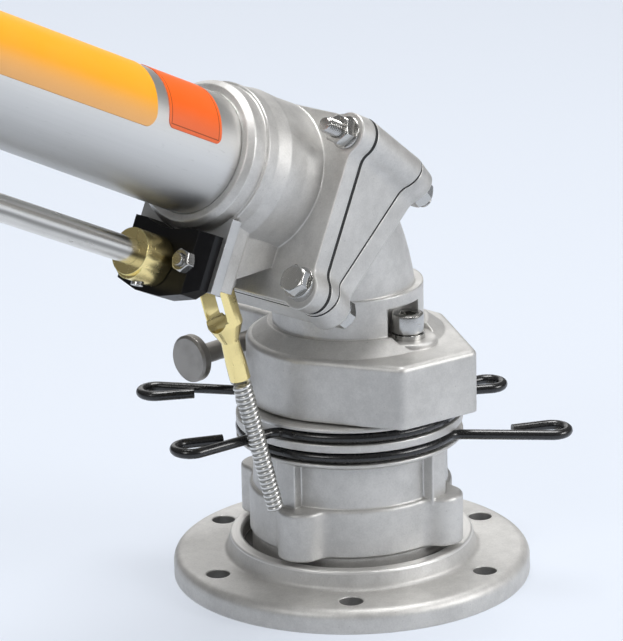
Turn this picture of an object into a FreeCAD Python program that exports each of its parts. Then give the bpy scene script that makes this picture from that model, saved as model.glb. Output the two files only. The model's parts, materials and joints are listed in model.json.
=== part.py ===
import FreeCAD, Part

import math
import os

# Driving dimensions, in millimetres and degrees.

# Barrel line: it crosses the swivel axis at barrel_height and rises by barrel_tilt.
# Stations along it count from barrel_start past that crossing.
barrel_height = 188.6
barrel_tilt = 25.74
barrel_start = 7.0

# Fits and clearances
running_gap = 0.05
slide_gap = 0.3
free_gap = 1.0
bolt_gap = 0.3

# Base flange
base_radius = 90.0
base_thickness = 12.0
base_rim_round = 5.0
base_hole_count = 6
base_hole_radius = 6.0
base_hole_circle = 76.4
base_hole_turn = 43.7
inlet_radius = 30.0
collar_foot_radius = 63.4
collar_top_radius = 61.0
collar_top = 21.2
recess_radius = 55.0
recess_floor = 14.0
seal_section = 1.5

# Bearing body
foot_radius = 50.0
foot_screw_circle = 43.0
foot_screw_depth = 12.0
lobe_count = 4
lobe_turn = 15.0
lobe_circle = 50.0
lobe_radius = 12.0
lobe_bottom = 24.0
lobe_top = 49.0
lobe_blend = 9.0
foot_wall_radius = 51.0
neck_radius = 48.8
neck_slope_top = 53.0
rib_width = 11.0
rib_reach = 54.2
rib_turn = 8.0
stop_ring_radius = 56.8
stop_ring_bottom = 72.5
stop_ring_top = 93.4
stop_ring_underchamfer = 4.0
register_radius = 45.0
register_top = 98.4
groove_height = 6.4
upper_groove_level = 88.0
lower_groove_level = 77.7
drum_radius = 47.0
drum_wall = 3.5
drum_top = 112.0

# Swivel
waterway_radius = 25.0
sleeve_wall = 5.0
sleeve_bottom = 17.0
sleeve_flange_radius = 43.0
sleeve_flange_thickness = 10.0
bearing_bore_radius = 42.0
bearing_height = 14.0
lower_bearing_level = 38.5
upper_bearing_level = 73.0
seal_height = 8.0
water_seal_level = 19.5
dust_seal_height = 5.0
sleeve_nut_height = 8.0
shoulder_radius = 38.0
water_seal_radius = 38.0

# Arc stops
stop_wire_radius = 2.5
stop_spread = 42.2
upper_stop_turn = -32.0
upper_stop_lean = 17.0
upper_stop_arms = (41.0, 40.0)
lower_stop_turn = 148.0
lower_stop_lean = 24.0
lower_stop_arms = (33.0, 44.0)
stop_bend_radius = 8.0
stop_eye_radius = 7.8
stop_eye_turn = 202.0
stop_return_length = 18.0
stop_seat_gap = 0.1

# Turret head
head_radius = 51.0
head_bottom = 94.4
head_top = 126.0
head_flat_start = 25.0
head_front_corner = (27.2, 62.2)
head_side_corner = (-18.3, 70.0)
head_back_corner = (-52.7, 16.1)
head_corner_round = 5.0
head_top_round = 3.0
skirt_foot_radius = 49.5
skirt_radius = 40.0
skirt_top = 132.3
neck_collar_radius = 37.6
neck_collar_top = 152.0
elbow_radius = 35.0
elbow_rise = 1.0
elbow_bore_radius = 25.0
head_boss_radius = 14.5
head_boss_height = 3.0
head_screw_circle = 36.5
head_screw_turn = 97.3
head_niche_radius = 9.3
head_niche_top = 146.0
head_niche_reach = 5.0

# Brake lug and thumb screw
brake_level = 109.8
brake_line = -62.0
brake_plunger_station = -2.0
plunger_radius = 5.0
pad_radius = 4.0
pad_thickness = 3.0
brake_gap = 1.2
lug_front = 6.0
lug_outer = -77.0
lug_tip = (-3.0, -79.0)
lug_root = (-14.0, -50.5)
thumb_radius = 12.0
thumb_thickness = 6.0
thumb_face_station = 51.5
thumb_shank_radius = 5.0
thumb_bevel = 1.2

# Four-bolt flanges; the lower one faces up the seat_tilt line
seat_tilt = 49.3
flange_station = 46.5
flange_drop = 8.5
flange_bolt_half_width = 44.5
flange_bolt_half_height = 38.25
flange_lobe_radius = 10.0
flange_waist = 5.0
flange_brow = 2.0
flange_blend_radius = 8.0
upper_flange_thickness = 9.0
lower_flange_thickness = 10.4
upper_gasket_thickness = 2.0
lower_gasket_thickness = 1.0
wedge_toe = 2.0

# Barrel socket
socket_root_radius = 38.3
socket_bulge_station = 68.0
socket_bulge_radius = 38.0
socket_body_radius = 37.3
socket_body_station = 88.0
socket_mouth_station = 105.8
socket_mouth_radius = 35.7
socket_mouth_inner = 33.2
socket_line_station = 95.0
tube_seat_station = 66.0
socket_bore_radius = 27.4
leg_inner = 13.0
leg_outer = 25.0
leg_station = 80.0
leg_drop = 59.0

# Barrel tube
tube_radius = 29.7
tube_slope = 0.008
tube_wall = 2.4
tube_end_station = 515.0
seal_station = 98.0

# Labels
label_thickness = 0.25
label_bed = 0.02
orange_start = 120.0
orange_end = 155.5
orange_from = -4.0
orange_to = 81.0
yellow_start = 163.5
yellow_end = 300.0
yellow_from = -2.0
yellow_to = 88.0

# Rod bracket below the socket
rod_drop = 53.3
rod_radius = 6.3
plate_station = 92.0
plate_thickness = 6.0
plate_half_width = 29.5
plate_top = 25.5
plate_bottom = 61.5
block_half_width = 27.0
block_front = 109.0
block_top = 35.0
block_edge_drop = 61.5
block_middle_drop = 69.5
block_chamfer = 6.5
block_bolt_offset = 19.5
block_bolt_drop = 50.7

# Shift rod group, turned to its resting angle about the rod
shift_rest = 8.0
rod_rear_station = 62.5
rod_front_station = 486.0
pin_station = 69.0
collar_length = 18.0
collar_radius = 11.3
collar_lobe_radius = 9.6
collar_lobe_drop = 3.4
yoke_station = 468.0
yoke_length = 20.0
yoke_radius = 12.0
yoke_prong = 5.0
arm_pin_station = 508.0

# Clevis and trip rod, hanging at trip_lean from the vertical
trip_lean = 11.4
clevis_radius = 8.6
clevis_slot = 2 * (rod_radius + slide_gap)
clevis_flat = 4.6
clevis_ear_above = 4.6
clevis_slot_length = 25.5
clevis_shoulder = 24.0
clevis_body_length = 33.0
clevis_neck_length = 53.0
clevis_neck_top_radius = 4.4
clevis_neck_radius = 5.1
pin_radius = 2.5
pin_head_radius = 4.4
pin_head_thickness = 3.6
spring_wire_radius = 0.95
spring_top_radius = 3.85
spring_bottom_radius = 3.2
spring_turns = 28
spring_pitch = 2.42
spring_tail = 4.0
spring_arc_step = 90.0

# Front bracket
front_bracket_station = 440.0
front_bracket_length = 22.0
front_bracket_wall = 7.0
front_leg_half_width = 11.0
front_leg_margin = 11.0
bush_wall = 2.0

# Nozzle
holder_station = 492.0
holder_length = 44.0
holder_wall = 4.0
nozzle_length = 76.0
nozzle_root_radius = 24.0
nozzle_wall = 3.0
nozzle_exit_radius = 10.0
nozzle_land = 8.0
nozzle_ring_length = 12.0

# Drive arm, measured from its pin
arm_hub_radius = 10.0
arm_width = 10.0
arm_thickness = 8.0
arm_reach = 120.0
arm_rise = 8.0
spoon_length = 30.0
spoon_height = 40.0
spoon_width = 30.0
spoon_wall = 3.0
tail_knee = (-14.0, -36.0)
tail_end = (-80.0, -52.0)
weight_radius = 14.0
weight_length = 50.0

# Screws, nuts and washers: radius, head radius, head height and key size
m10_radius = 5.0
m10_head_radius = 8.0
m10_head_height = 10.0
m10_key = 8.0
m8_radius = 4.0
m8_head_radius = 6.5
m8_head_height = 8.0
m8_key = 6.0
m8_nut_flats = 13.0
m8_nut_height = 6.5
m8_washer_radius = 8.0
m8_washer_thickness = 1.6
m6_radius = 3.0
m6_nut_flats = 10.0
m6_nut_height = 5.0
spring_washer_thickness = 2.5
stud_tip = 9.0
stud_depth = 12.0

Vector = FreeCAD.Vector
X_AXIS = Vector(1, 0, 0)
Y_AXIS = Vector(0, 1, 0)
Z_AXIS = Vector(0, 0, 1)
ORIGIN = Vector(0, 0, 0)
barrel_turn = FreeCAD.Rotation(Y_AXIS, -barrel_tilt)
barrel_origin = Vector(0, 0, barrel_height) + barrel_turn.multVec(Vector(barrel_start, 0, 0))
barrel_frame = FreeCAD.Placement(barrel_origin, barrel_turn)
sleeve_radius = waterway_radius + sleeve_wall
flange_half_height = flange_bolt_half_height + flange_lobe_radius


# Helpers

def polar(radius, degrees, z=0.0):
    """Return the point at a radius and an angle about Z."""
    return Vector(radius * math.cos(math.radians(degrees)), radius * math.sin(math.radians(degrees)), z)


def cylinder(radius, length, start=ORIGIN, axis=Z_AXIS):
    """Return a solid cylinder."""
    return Part.makeCylinder(radius, length, start, axis)


def pipe(outer, inner, length, start=ORIGIN, axis=Z_AXIS):
    """Return a plain ring or tube."""
    return cylinder(outer, length, start, axis).cut(cylinder(inner, length, start, axis))


def box(x_range, y_range, z_range):
    """Return a box between three ranges."""
    sizes = [high - low for low, high in (x_range, y_range, z_range)]
    return Part.makeBox(*sizes, Vector(x_range[0], y_range[0], z_range[0]))


def turned(points, axis=Z_AXIS):
    """Revolve (radius, height) points about an axis through the origin."""
    if axis == Z_AXIS:
        corners = [Vector(radius, 0, height) for radius, height in points]
    else:
        corners = [Vector(height, 0, radius) for radius, height in points]
    face = Part.Face(Part.makePolygon(corners + corners[:1]))
    return face.revolve(ORIGIN, axis, 360)


def prism(points, vector):
    """Extrude a closed polygon of vectors."""
    return Part.Face(Part.makePolygon(points + points[:1])).extrude(vector)


def hexagon(flats, height, start=ORIGIN, axis=Z_AXIS):
    """Return a hexagonal prism along an axis."""
    corners = [polar(flats / math.sqrt(3), 60 * k + 30) for k in range(6)]
    solid = prism(corners, Vector(0, 0, height))
    solid.Placement = FreeCAD.Placement(start, FreeCAD.Rotation(Z_AXIS, axis))
    return solid


def fused(shapes):
    """Join shapes into one clean solid."""
    return shapes[0].multiFuse(shapes[1:]).removeSplitter()


def group(shapes):
    """Keep shapes as separate solids of one node."""
    return Part.makeCompound(shapes)


def placed(shape, frame):
    """Return a copy of a shape carried into a frame."""
    moved = shape.copy()
    moved.Placement = frame.multiply(moved.Placement)
    return moved


def ring_copies(shape, count, first=0.0):
    """Return copies of a shape turned about Z."""
    copies = []
    for k in range(count):
        copies.append(shape.copy().rotate(ORIGIN, Z_AXIS, first + k * 360.0 / count))
    return copies


def mirrored(shape):
    """Return a shape and its mirror image across the plane Y = 0."""
    return [shape, shape.mirror(ORIGIN, Y_AXIS)]


def edges_at(shape, test):
    """Return the edges whose every sampled point passes a test."""
    found = []
    for edge in shape.Edges:
        if not edge.Degenerated and all(test(point) for point in edge.discretize(5)):
            found.append(edge)
    return found


def upright(edges):
    """Keep the edges that run up or down."""
    return [edge for edge in edges if abs(edge.Vertexes[0].Z - edge.Vertexes[-1].Z) > 1]


def nut(flats, height, bore, start, axis):
    """Return a hexagon nut with turned corners."""
    body = hexagon(flats, height, start, axis)
    corner = flats / math.sqrt(3)
    drop = 0.12 * height
    shell = turned([
        (0, 0),
        (flats / 2, 0),
        (corner, drop),
        (corner, height - drop),
        (flats / 2, height),
        (0, height),
    ])
    shell.Placement = FreeCAD.Placement(start, FreeCAD.Rotation(Z_AXIS, axis))
    return body.common(shell).cut(cylinder(bore, height, start, axis))


def socket_screw(radius, head_radius, head_height, key, length, seat, axis):
    """Return a socket head screw whose head sits on seat and points along axis."""
    head = cylinder(head_radius, head_height).cut(hexagon(key, head_height, Vector(0, 0, head_height / 2)))
    rim = edges_at(head, lambda p: p.z > head_height - 0.01 and math.hypot(p.x, p.y) > head_radius - 0.01)
    head = head.makeFillet(0.6, rim)
    shank = cylinder(radius, length, Vector(0, 0, -length))
    screw = fused([head, shank])
    screw.Placement = FreeCAD.Placement(seat, FreeCAD.Rotation(Z_AXIS, axis))
    return screw


def swept(path, radius, start, direction):
    """Sweep a round section along a path."""
    section = Part.Wire(Part.makeCircle(radius, start, direction))
    return Part.Wire(path).makePipeShell([section], True, False)


def arc_through(first, middle, last):
    """Return an arc edge through three points."""
    return Part.Arc(first, middle, last).toShape()


# Base

def base_flange():
    """Cast flange with its collar, recess, inlet and holes."""
    shape = turned([
        (inlet_radius, 0),
        (base_radius, 0),
        (base_radius, base_thickness),
        (collar_foot_radius, base_thickness),
        (collar_top_radius, collar_top),
        (recess_radius, collar_top),
        (recess_radius, recess_floor),
        (inlet_radius, recess_floor),
    ])
    rim = edges_at(shape, lambda p: abs(p.z - base_thickness) < 0.01
                   and math.hypot(p.x, p.y) > base_radius - 0.01)
    shape = shape.makeFillet(base_rim_round, rim)
    foot = edges_at(shape, lambda p: abs(p.z - base_thickness) < 0.01
                    and abs(math.hypot(p.x, p.y) - collar_foot_radius) < 0.05)
    shape = shape.makeFillet(2.5, foot)
    lip = edges_at(shape, lambda p: abs(p.z - collar_top) < 0.01)
    shape = shape.makeFillet(1.0, lip)
    holes = [cylinder(base_hole_radius, base_thickness, polar(base_hole_circle, base_hole_turn))]
    holes = ring_copies(holes[0], base_hole_count)
    screw = polar(foot_screw_circle, lobe_turn)
    pocket = cylinder(m8_head_radius + bolt_gap, m8_head_height + bolt_gap, screw)
    passage = cylinder(m8_radius + bolt_gap, recess_floor, screw)
    holes += ring_copies(pocket.fuse(passage), lobe_count)
    groove = seal_groove(inlet_radius + 5.0, recess_floor)
    return shape.cut(Part.makeCompound(holes)).cut(groove)


def seal_groove(radius, level):
    """Square groove, open upward at a level, for a round seal."""
    width = seal_section + slide_gap
    return pipe(radius + width, radius - width, 2 * seal_section, Vector(0, 0, level - 2 * seal_section))


def foot_seal():
    """Round seal between the base flange and the bearing body."""
    level = recess_floor - seal_section
    return Part.makeTorus(inlet_radius + 5.0, seal_section, Vector(0, 0, level), Z_AXIS)


def foot_screws():
    """Four screws, from below, into the lobes."""
    seat = polar(foot_screw_circle, lobe_turn, m8_head_height + bolt_gap)
    length = recess_floor - seat.z + foot_screw_depth
    screw = socket_screw(m8_radius, m8_head_radius, m8_head_height, m8_key, length, seat, Z_AXIS * -1)
    return group(ring_copies(screw, lobe_count))


def lobed_wall():
    """Wall of the foot, which swells round the four screws."""
    height = lobe_top - lobe_bottom
    lobe = cylinder(lobe_radius, height, polar(lobe_circle, 0, lobe_bottom))
    wall = cylinder(foot_wall_radius, height, Vector(0, 0, lobe_bottom))
    wall = fused([wall] + ring_copies(lobe, lobe_count, lobe_turn))
    inner_corners = edges_at(wall, lambda p: abs(math.hypot(p.x, p.y) - foot_wall_radius) < 0.01)
    wall = wall.makeFillet(lobe_blend, upright(inner_corners))
    wall = wall.makeFillet(2.0, edges_at(wall, lambda p: p.z > lobe_top - 0.01))
    return wall.makeFillet(0.8, edges_at(wall, lambda p: p.z < lobe_bottom + 0.01))


def bearing_body():
    """Cast housing: lobed foot, ribbed neck, grooved stop ring and the brake ring's register."""
    spigot = cylinder(foot_radius, lobe_bottom + 2 - recess_floor, Vector(0, 0, recess_floor))
    neck = turned([
        (0, lobe_bottom),
        (neck_radius, lobe_bottom),
        (foot_wall_radius - 1.8, lobe_top - 1),
        (neck_radius, neck_slope_top),
        (neck_radius, stop_ring_bottom),
        (0, stop_ring_bottom),
    ])
    rib_half = rib_width / 2
    rib_profile = [
        Vector(neck_radius - 4, -rib_half, lobe_top - 3),
        Vector(rib_reach, -rib_half, lobe_top - 3),
        Vector(rib_reach, -rib_half, stop_ring_bottom),
        Vector(neck_radius - 4, -rib_half, stop_ring_bottom),
    ]
    rib = prism(rib_profile, Vector(0, rib_width, 0))
    outer = fused([spigot, lobed_wall(), neck] + ring_copies(rib, lobe_count, rib_turn))
    ring = turned([
        (neck_radius - 2, stop_ring_bottom),
        (stop_ring_radius - stop_ring_underchamfer, stop_ring_bottom - 1.5),
        (stop_ring_radius, stop_ring_bottom + 0.6),
        (stop_ring_radius, stop_ring_top - 0.8),
        (stop_ring_radius - 0.8, stop_ring_top),
        (neck_radius - 2, stop_ring_top),
    ])
    register = cylinder(register_radius, register_top - stop_ring_bottom, Vector(0, 0, stop_ring_bottom))
    outer = fused([outer, ring, register])
    cuts = []
    for level in (upper_groove_level, lower_groove_level):
        low = Vector(0, 0, level - groove_height / 2)
        floor = stop_line_radius() - stop_wire_radius - stop_seat_gap
        cuts.append(pipe(stop_ring_radius + 5, floor, groove_height, low))
    cuts.append(turned([
        (0, recess_floor - 1),
        (sleeve_radius + 0.8, recess_floor - 1),
        (sleeve_radius + 0.8, water_seal_level),
        (water_seal_radius, water_seal_level),
        (water_seal_radius, water_seal_level + seal_height),
        (bearing_bore_radius, water_seal_level + seal_height),
        (bearing_bore_radius, lower_bearing_level + bearing_height),
        (shoulder_radius, lower_bearing_level + bearing_height),
        (shoulder_radius, upper_bearing_level),
        (bearing_bore_radius, upper_bearing_level),
        (bearing_bore_radius, drum_top),
        (0, drum_top),
    ]))
    screw = polar(foot_screw_circle, lobe_turn, recess_floor - 1)
    cuts += ring_copies(cylinder(m8_radius, foot_screw_depth + 1.5, screw), lobe_count)
    return outer.cut(Part.makeCompound(cuts))


def brake_ring():
    """Turned ring pressed on the bearing body's register, on which the brake pad acts."""
    return turned([
        (register_radius + 0.01, stop_ring_top),
        (drum_radius, stop_ring_top),
        (drum_radius, drum_top),
        (drum_radius - drum_wall, drum_top),
        (drum_radius - drum_wall, register_top + 0.2),
        (register_radius + 0.01, register_top + 0.2),
    ])


def bearing(level):
    """Closed ball bearing drawn as one sealed ring with a shield step on each face."""
    outer = bearing_bore_radius - 0.02
    inner = sleeve_radius + 0.02
    shape = pipe(outer, inner, bearing_height, Vector(0, 0, level))
    step = pipe(outer - 2.5, inner + 2.5, 0.8)
    low = step.copy().translate(Vector(0, 0, level))
    high = step.copy().translate(Vector(0, 0, level + bearing_height - 0.8))
    return shape.cut(Part.makeCompound([low, high]))


def water_seal():
    """Lip seal that keeps the water out of the bearings."""
    base = water_seal_level
    return turned([
        (sleeve_radius + 0.02, base + 1),
        (sleeve_radius + 2.5, base + 3),
        (water_seal_radius - 2, base),
        (water_seal_radius - 0.02, base),
        (water_seal_radius - 0.02, base + seal_height),
        (sleeve_radius + 0.02, base + seal_height),
    ])


def dust_seal():
    """Ring that covers the upper bearing."""
    level = Vector(0, 0, stop_ring_top - dust_seal_height)
    return pipe(bearing_bore_radius - 0.02, sleeve_radius + 0.02, dust_seal_height, level)


def sleeve_flange_top():
    """Height of the face on which the head is bolted."""
    return drum_top - 2.0


def swivel_sleeve():
    """Steel tube that carries the head in the bearings."""
    top = sleeve_flange_top()
    shape = turned([
        (waterway_radius, sleeve_bottom),
        (sleeve_radius, sleeve_bottom),
        (sleeve_radius, top - sleeve_flange_thickness),
        (sleeve_flange_radius, top - sleeve_flange_thickness),
        (sleeve_flange_radius, top),
        (waterway_radius, top),
    ])
    tapped = [cylinder(m10_radius, sleeve_flange_thickness, head_screw_point(top - sleeve_flange_thickness))]
    tapped = mirrored(tapped[0])
    groove = pipe(waterway_radius + 3.0, waterway_radius + 1.0, 1.6, Vector(0, 0, top - 1.6))
    return shape.cut(Part.makeCompound(tapped + [groove]))


def head_seal():
    """Flat seal in the sleeve's top groove."""
    return pipe(waterway_radius + 2.95, waterway_radius + 1.05, 1.6, Vector(0, 0, sleeve_flange_top() - 1.6))


def sleeve_nut():
    """Slotted nut that holds the sleeve up against the lower bearing."""
    level = lower_bearing_level - sleeve_nut_height
    ring = pipe(shoulder_radius, sleeve_radius, sleeve_nut_height, Vector(0, 0, level))
    slot = box((sleeve_radius + 3, shoulder_radius + 1), (-3, 3), (level - 1, level + sleeve_nut_height - 2))
    return ring.cut(Part.makeCompound(ring_copies(slot, 4)))


# Arc stops

def stop_line_radius():
    """Radius of the stop wire's centre line in its groove."""
    return stop_ring_radius + 0.4 - stop_wire_radius


def stop_arm(length, lean):
    """Edges of one arm, from its hairpin's tip to the ring, on the side of positive angles."""
    radius = stop_line_radius()
    centre = polar(radius + stop_bend_radius, stop_spread)
    swing = 90.0 - lean
    heading = stop_spread - lean
    bend_start = centre + polar(stop_bend_radius, 180.0 + stop_spread + swing)
    bend_middle = centre + polar(stop_bend_radius, 180.0 + stop_spread + swing / 2)
    bend_end = polar(radius, stop_spread)
    arm_end = bend_start + polar(length, heading)
    eye = arm_end + polar(stop_eye_radius, heading - 90.0)
    eye_middle = eye + polar(stop_eye_radius, heading + 90.0 - stop_eye_turn / 2)
    eye_end = eye + polar(stop_eye_radius, heading + 90.0 - stop_eye_turn)
    tip = eye_end + polar(stop_return_length, heading - stop_eye_turn)
    return [
        Part.makeLine(tip, eye_end),
        arc_through(eye_end, eye_middle, arm_end),
        Part.makeLine(arm_end, bend_start),
        arc_through(bend_start, bend_middle, bend_end),
    ]


def arc_stop(level, turn, lean, lengths):
    """Spring wire clipped in a groove, with two radial arms that end in hairpins."""
    radius = stop_line_radius()
    ring = [
        arc_through(polar(radius, stop_spread), polar(radius, 90.0), polar(radius, 180.0)),
        arc_through(polar(radius, 180.0), polar(radius, 270.0), polar(radius, 360.0 - stop_spread)),
    ]
    other = [edge.mirror(ORIGIN, Y_AXIS) for edge in reversed(stop_arm(lengths[1], lean))]
    path = Part.Wire(Part.__sortEdges__(stop_arm(lengths[0], lean) + ring + other))
    first = path.OrderedEdges[0]
    section = Part.Wire(Part.makeCircle(stop_wire_radius, path.OrderedVertexes[0].Point,
                                        first.tangentAt(first.FirstParameter)))
    wire = path.makePipeShell([section], True, False)
    wire.Placement = FreeCAD.Placement(Vector(0, 0, level), FreeCAD.Rotation(Z_AXIS, turn))
    return wire


# Turret head

def head_screw_point(z):
    """Axis of the near head screw."""
    return polar(head_screw_circle, head_screw_turn, z)


def hinge_frame():
    """Frame on the line where both flange faces meet: X along the barrel, Z up the face."""
    local = Vector(flange_station, 0, -flange_drop - flange_half_height)
    return barrel_frame.multiply(FreeCAD.Placement(local, FreeCAD.Rotation()))


def upper_face_frame():
    """Frame on the socket's flange face, centred on its bolts, X along the barrel."""
    local = Vector(flange_station, 0, -flange_drop)
    return barrel_frame.multiply(FreeCAD.Placement(local, FreeCAD.Rotation()))


def lower_face_frame():
    """Frame on the elbow's flange face, centred on its bolts, X out of the elbow."""
    turn = FreeCAD.Rotation(Y_AXIS, -seat_tilt)
    toe = turn.multVec(Vector(-wedge_toe, 0, 0))
    centre = hinge_frame().Base + toe + turn.multVec(Vector(0, 0, flange_half_height))
    return FreeCAD.Placement(centre, turn)


def flange_wire(offset=0.0):
    """Outline of a four-bolt flange, in the plane X = offset of its frame."""
    half_y = flange_bolt_half_width
    half_z = flange_bolt_half_height
    lobe = flange_lobe_radius
    blend = flange_blend_radius
    side = half_y + lobe - flange_waist
    brow = half_z + lobe - flange_brow
    reach = lobe + blend
    side_centre = (side + blend, half_z - math.sqrt(reach ** 2 - (side + blend - half_y) ** 2))
    brow_centre = (half_y - math.sqrt(reach ** 2 - (brow + blend - half_z) ** 2), brow + blend)

    def lobe_point(toward):
        gap_y = toward[0] - half_y
        gap_z = toward[1] - half_z
        return (half_y + gap_y * lobe / reach, half_z + gap_z * lobe / reach)

    def blend_middle(centre, first, last):
        middle_y = (first[0] + last[0]) / 2 - centre[0]
        middle_z = (first[1] + last[1]) / 2 - centre[1]
        scale = blend / math.hypot(middle_y, middle_z)
        return (centre[0] + middle_y * scale, centre[1] + middle_z * scale)

    side_start = (side, side_centre[1])
    side_lobe = lobe_point(side_centre)
    brow_lobe = lobe_point(brow_centre)
    brow_start = (brow_centre[0], brow)
    corner = (half_y + lobe * math.cos(math.radians(45)), half_z + lobe * math.sin(math.radians(45)))
    quarter = [
        (side_start, blend_middle(side_centre, side_start, side_lobe), side_lobe),
        (side_lobe, corner, brow_lobe),
        (brow_lobe, blend_middle(brow_centre, brow_lobe, brow_start), brow_start),
    ]
    edges = []
    for y_sign, z_sign in ((1, 1), (-1, 1), (-1, -1), (1, -1)):
        arcs = [[Vector(offset, y * y_sign, z * z_sign) for y, z in arc] for arc in quarter]
        if y_sign * z_sign < 0:
            arcs = [arc[::-1] for arc in arcs[::-1]]
        if edges:
            edges.append(Part.makeLine(last_point, arcs[0][0]))
        edges += [arc_through(*arc) for arc in arcs]
        last_point = arcs[-1][2]
    edges.append(Part.makeLine(last_point, Vector(offset, side, side_centre[1])))
    return Part.Wire(edges)


def flange_plate(start, end):
    """Four-bolt flange plate between two offsets."""
    return Part.Face(flange_wire(start)).extrude(Vector(end - start, 0, 0))


def flange_bolt_points(offset, z_signs=(1, -1)):
    """Bolt centres in a flange frame."""
    points = []
    for z_sign in z_signs:
        for y_sign in (1, -1):
            points.append(Vector(offset, y_sign * flange_bolt_half_width, z_sign * flange_bolt_half_height))
    return points


def elbow_bend():
    """Centre of the elbow's bend, and how far above the flange's middle its waterway comes out.

    The bend leaves the swivel axis elbow_rise above the head and meets the lower flange square.
    """
    frame = lower_face_frame()
    face = frame.multVec(Vector(-lower_gasket_thickness / 2, 0, 0))
    up = frame.Rotation.multVec(Z_AXIS)
    start = head_top + elbow_rise
    across = 1 - math.sin(math.radians(seat_tilt))
    along = math.cos(math.radians(seat_tilt))
    scale = up.x * along - up.z * across
    bend = (up.x * (face.z - start) - up.z * face.x) / scale
    rise = (across * (face.z - start) - along * face.x) / scale
    return Vector(bend, 0, start), rise


def bent(radius):
    """Round bar along the elbow's bend."""
    centre, _ = elbow_bend()
    face = Part.Face(Part.Wire(Part.makeCircle(radius, Vector(0, 0, centre.z), Z_AXIS)))
    return face.revolve(centre, Y_AXIS, 90.0 - seat_tilt)


def head_outline():
    """Plan of the head: round front, flat sides, three corners and the brake lug."""
    flat = polar(head_radius, head_flat_start)
    front = Vector(*head_front_corner, 0)
    side = Vector(*head_side_corner, 0)
    back = Vector(*head_back_corner, 0)
    far = Vector(head_back_corner[0], -head_back_corner[1], 0)
    root = Vector(*lug_root, 0)
    tip = Vector(*lug_tip, 0)
    outer = Vector(lug_front, lug_outer, 0)
    lug_angle = -math.degrees(math.acos(lug_front / head_radius))
    inner = polar(head_radius, lug_angle)
    middle = polar(head_radius, (lug_angle + head_flat_start) / 2)
    corners = [flat, front, side, back, far, root, tip, outer, inner]
    edges = [Part.makeLine(a, b) for a, b in zip(corners, corners[1:])]
    edges.append(arc_through(inner, middle, flat))
    return Part.Wire(edges)


def turret_head():
    """Casting: bearing cap with brake lug, lower elbow and its flange."""
    block = Part.Face(head_outline()).extrude(Vector(0, 0, head_top - head_bottom))
    block.translate(Vector(0, 0, head_bottom))
    corners = edges_at(block, lambda p: math.hypot(p.x, p.y) > head_radius + 2 and p.y > -20)
    block = block.makeFillet(head_corner_round, upright(corners))
    brow = edges_at(block, lambda p: p.z > head_top - 0.01)
    block = block.makeFillet(head_top_round, brow)
    skirt = turned([
        (0, head_top - 1),
        (skirt_foot_radius, head_top - 1),
        (skirt_radius, skirt_top),
        (0, skirt_top),
    ])
    boss_top = head_screw_point(head_top + head_boss_height)
    skirt = skirt.cut(Part.makeCompound(mirrored(cylinder(head_boss_radius, skirt_top, boss_top))))
    centre, _ = elbow_bend()
    neck = cylinder(neck_collar_radius, neck_collar_top - head_top, Vector(0, 0, head_top))
    stem = cylinder(elbow_radius, centre.z - head_top, Vector(0, 0, head_top))
    boss = cylinder(head_boss_radius, head_boss_height + 2, head_screw_point(head_top - 2))
    rim = edges_at(boss, lambda p: p.z > head_top + head_boss_height - 0.01)
    boss = boss.makeFillet(1.2, rim)
    frame = lower_face_frame()
    seat = -lower_gasket_thickness / 2
    plate = placed(flange_plate(seat - lower_flange_thickness, seat), frame)
    outer = fused([block, skirt, neck, stem, bent(elbow_radius), plate] + mirrored(boss))
    cuts = [
        bent(elbow_bore_radius),
        turned([
            (0, head_bottom - 1),
            (drum_radius + slide_gap, head_bottom - 1),
            (drum_radius + slide_gap, drum_top + free_gap),
            (sleeve_flange_radius + slide_gap, drum_top + free_gap),
            (sleeve_flange_radius + slide_gap, sleeve_flange_top()),
            (waterway_radius, sleeve_flange_top()),
            (elbow_bore_radius, centre.z),
            (0, centre.z),
        ]),
    ]
    seat_point = head_screw_point(sleeve_flange_top())
    passage = cylinder(m10_radius + bolt_gap, head_top + 10 - seat_point.z, seat_point)
    cuts += mirrored(passage)
    niche_height = head_niche_top - boss_top.z
    niche_end = boss_top + Vector(head_niche_reach, 0, 0)
    niche_side = Vector(0, head_niche_radius, 0)
    niche = prism(
        [boss_top - niche_side, niche_end - niche_side, niche_end + niche_side, boss_top + niche_side],
        Vector(0, 0, niche_height),
    )
    niche = fused([niche] + [cylinder(head_niche_radius, niche_height, end) for end in (boss_top, niche_end)])
    cuts += mirrored(niche)
    plunger_bore = Vector(brake_plunger_station, brake_line, brake_level)
    cuts.append(cylinder(plunger_radius + running_gap, -brake_line, plunger_bore, Y_AXIS))
    screw_bore = Vector(brake_cone_apex() - 1.0, brake_line, brake_level)
    cuts.append(cylinder(thumb_shank_radius + 0.02, lug_front - screw_bore.x + 1, screw_bore, X_AXIS))
    for point in flange_bolt_points(seat - lower_flange_thickness, (1,)):
        hole = cylinder(m8_radius + bolt_gap, lower_flange_thickness, point, X_AXIS)
        cuts.append(placed(hole, frame))
    cuts += through_bolt_bars(m8_radius + bolt_gap)
    return outer.cut(Part.makeCompound(cuts))


def head_screws():
    """Two socket head screws that hold the head on the sleeve."""
    seat = head_screw_point(head_top + head_boss_height + spring_washer_thickness)
    length = seat.z - sleeve_flange_top() + sleeve_flange_thickness - 1
    screw = socket_screw(m10_radius, m10_head_radius, m10_head_height, m10_key, length, seat, Z_AXIS)
    return group(mirrored(screw))


def head_screw_washers():
    """Split spring washers under the head screws."""
    base = head_screw_point(head_top + head_boss_height)
    ring = pipe(m10_head_radius + 0.6, m10_radius + 0.05, spring_washer_thickness, base)
    split = box((m10_radius, m10_head_radius + 2), (-0.6, 0.6), (-1, spring_washer_thickness + 1))
    split.translate(base)
    return group(mirrored(ring.cut(split)))


# Brake

def brake_cone_apex():
    """Station of the thumb screw's point."""
    return brake_plunger_station - plunger_radius + 0.4


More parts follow.
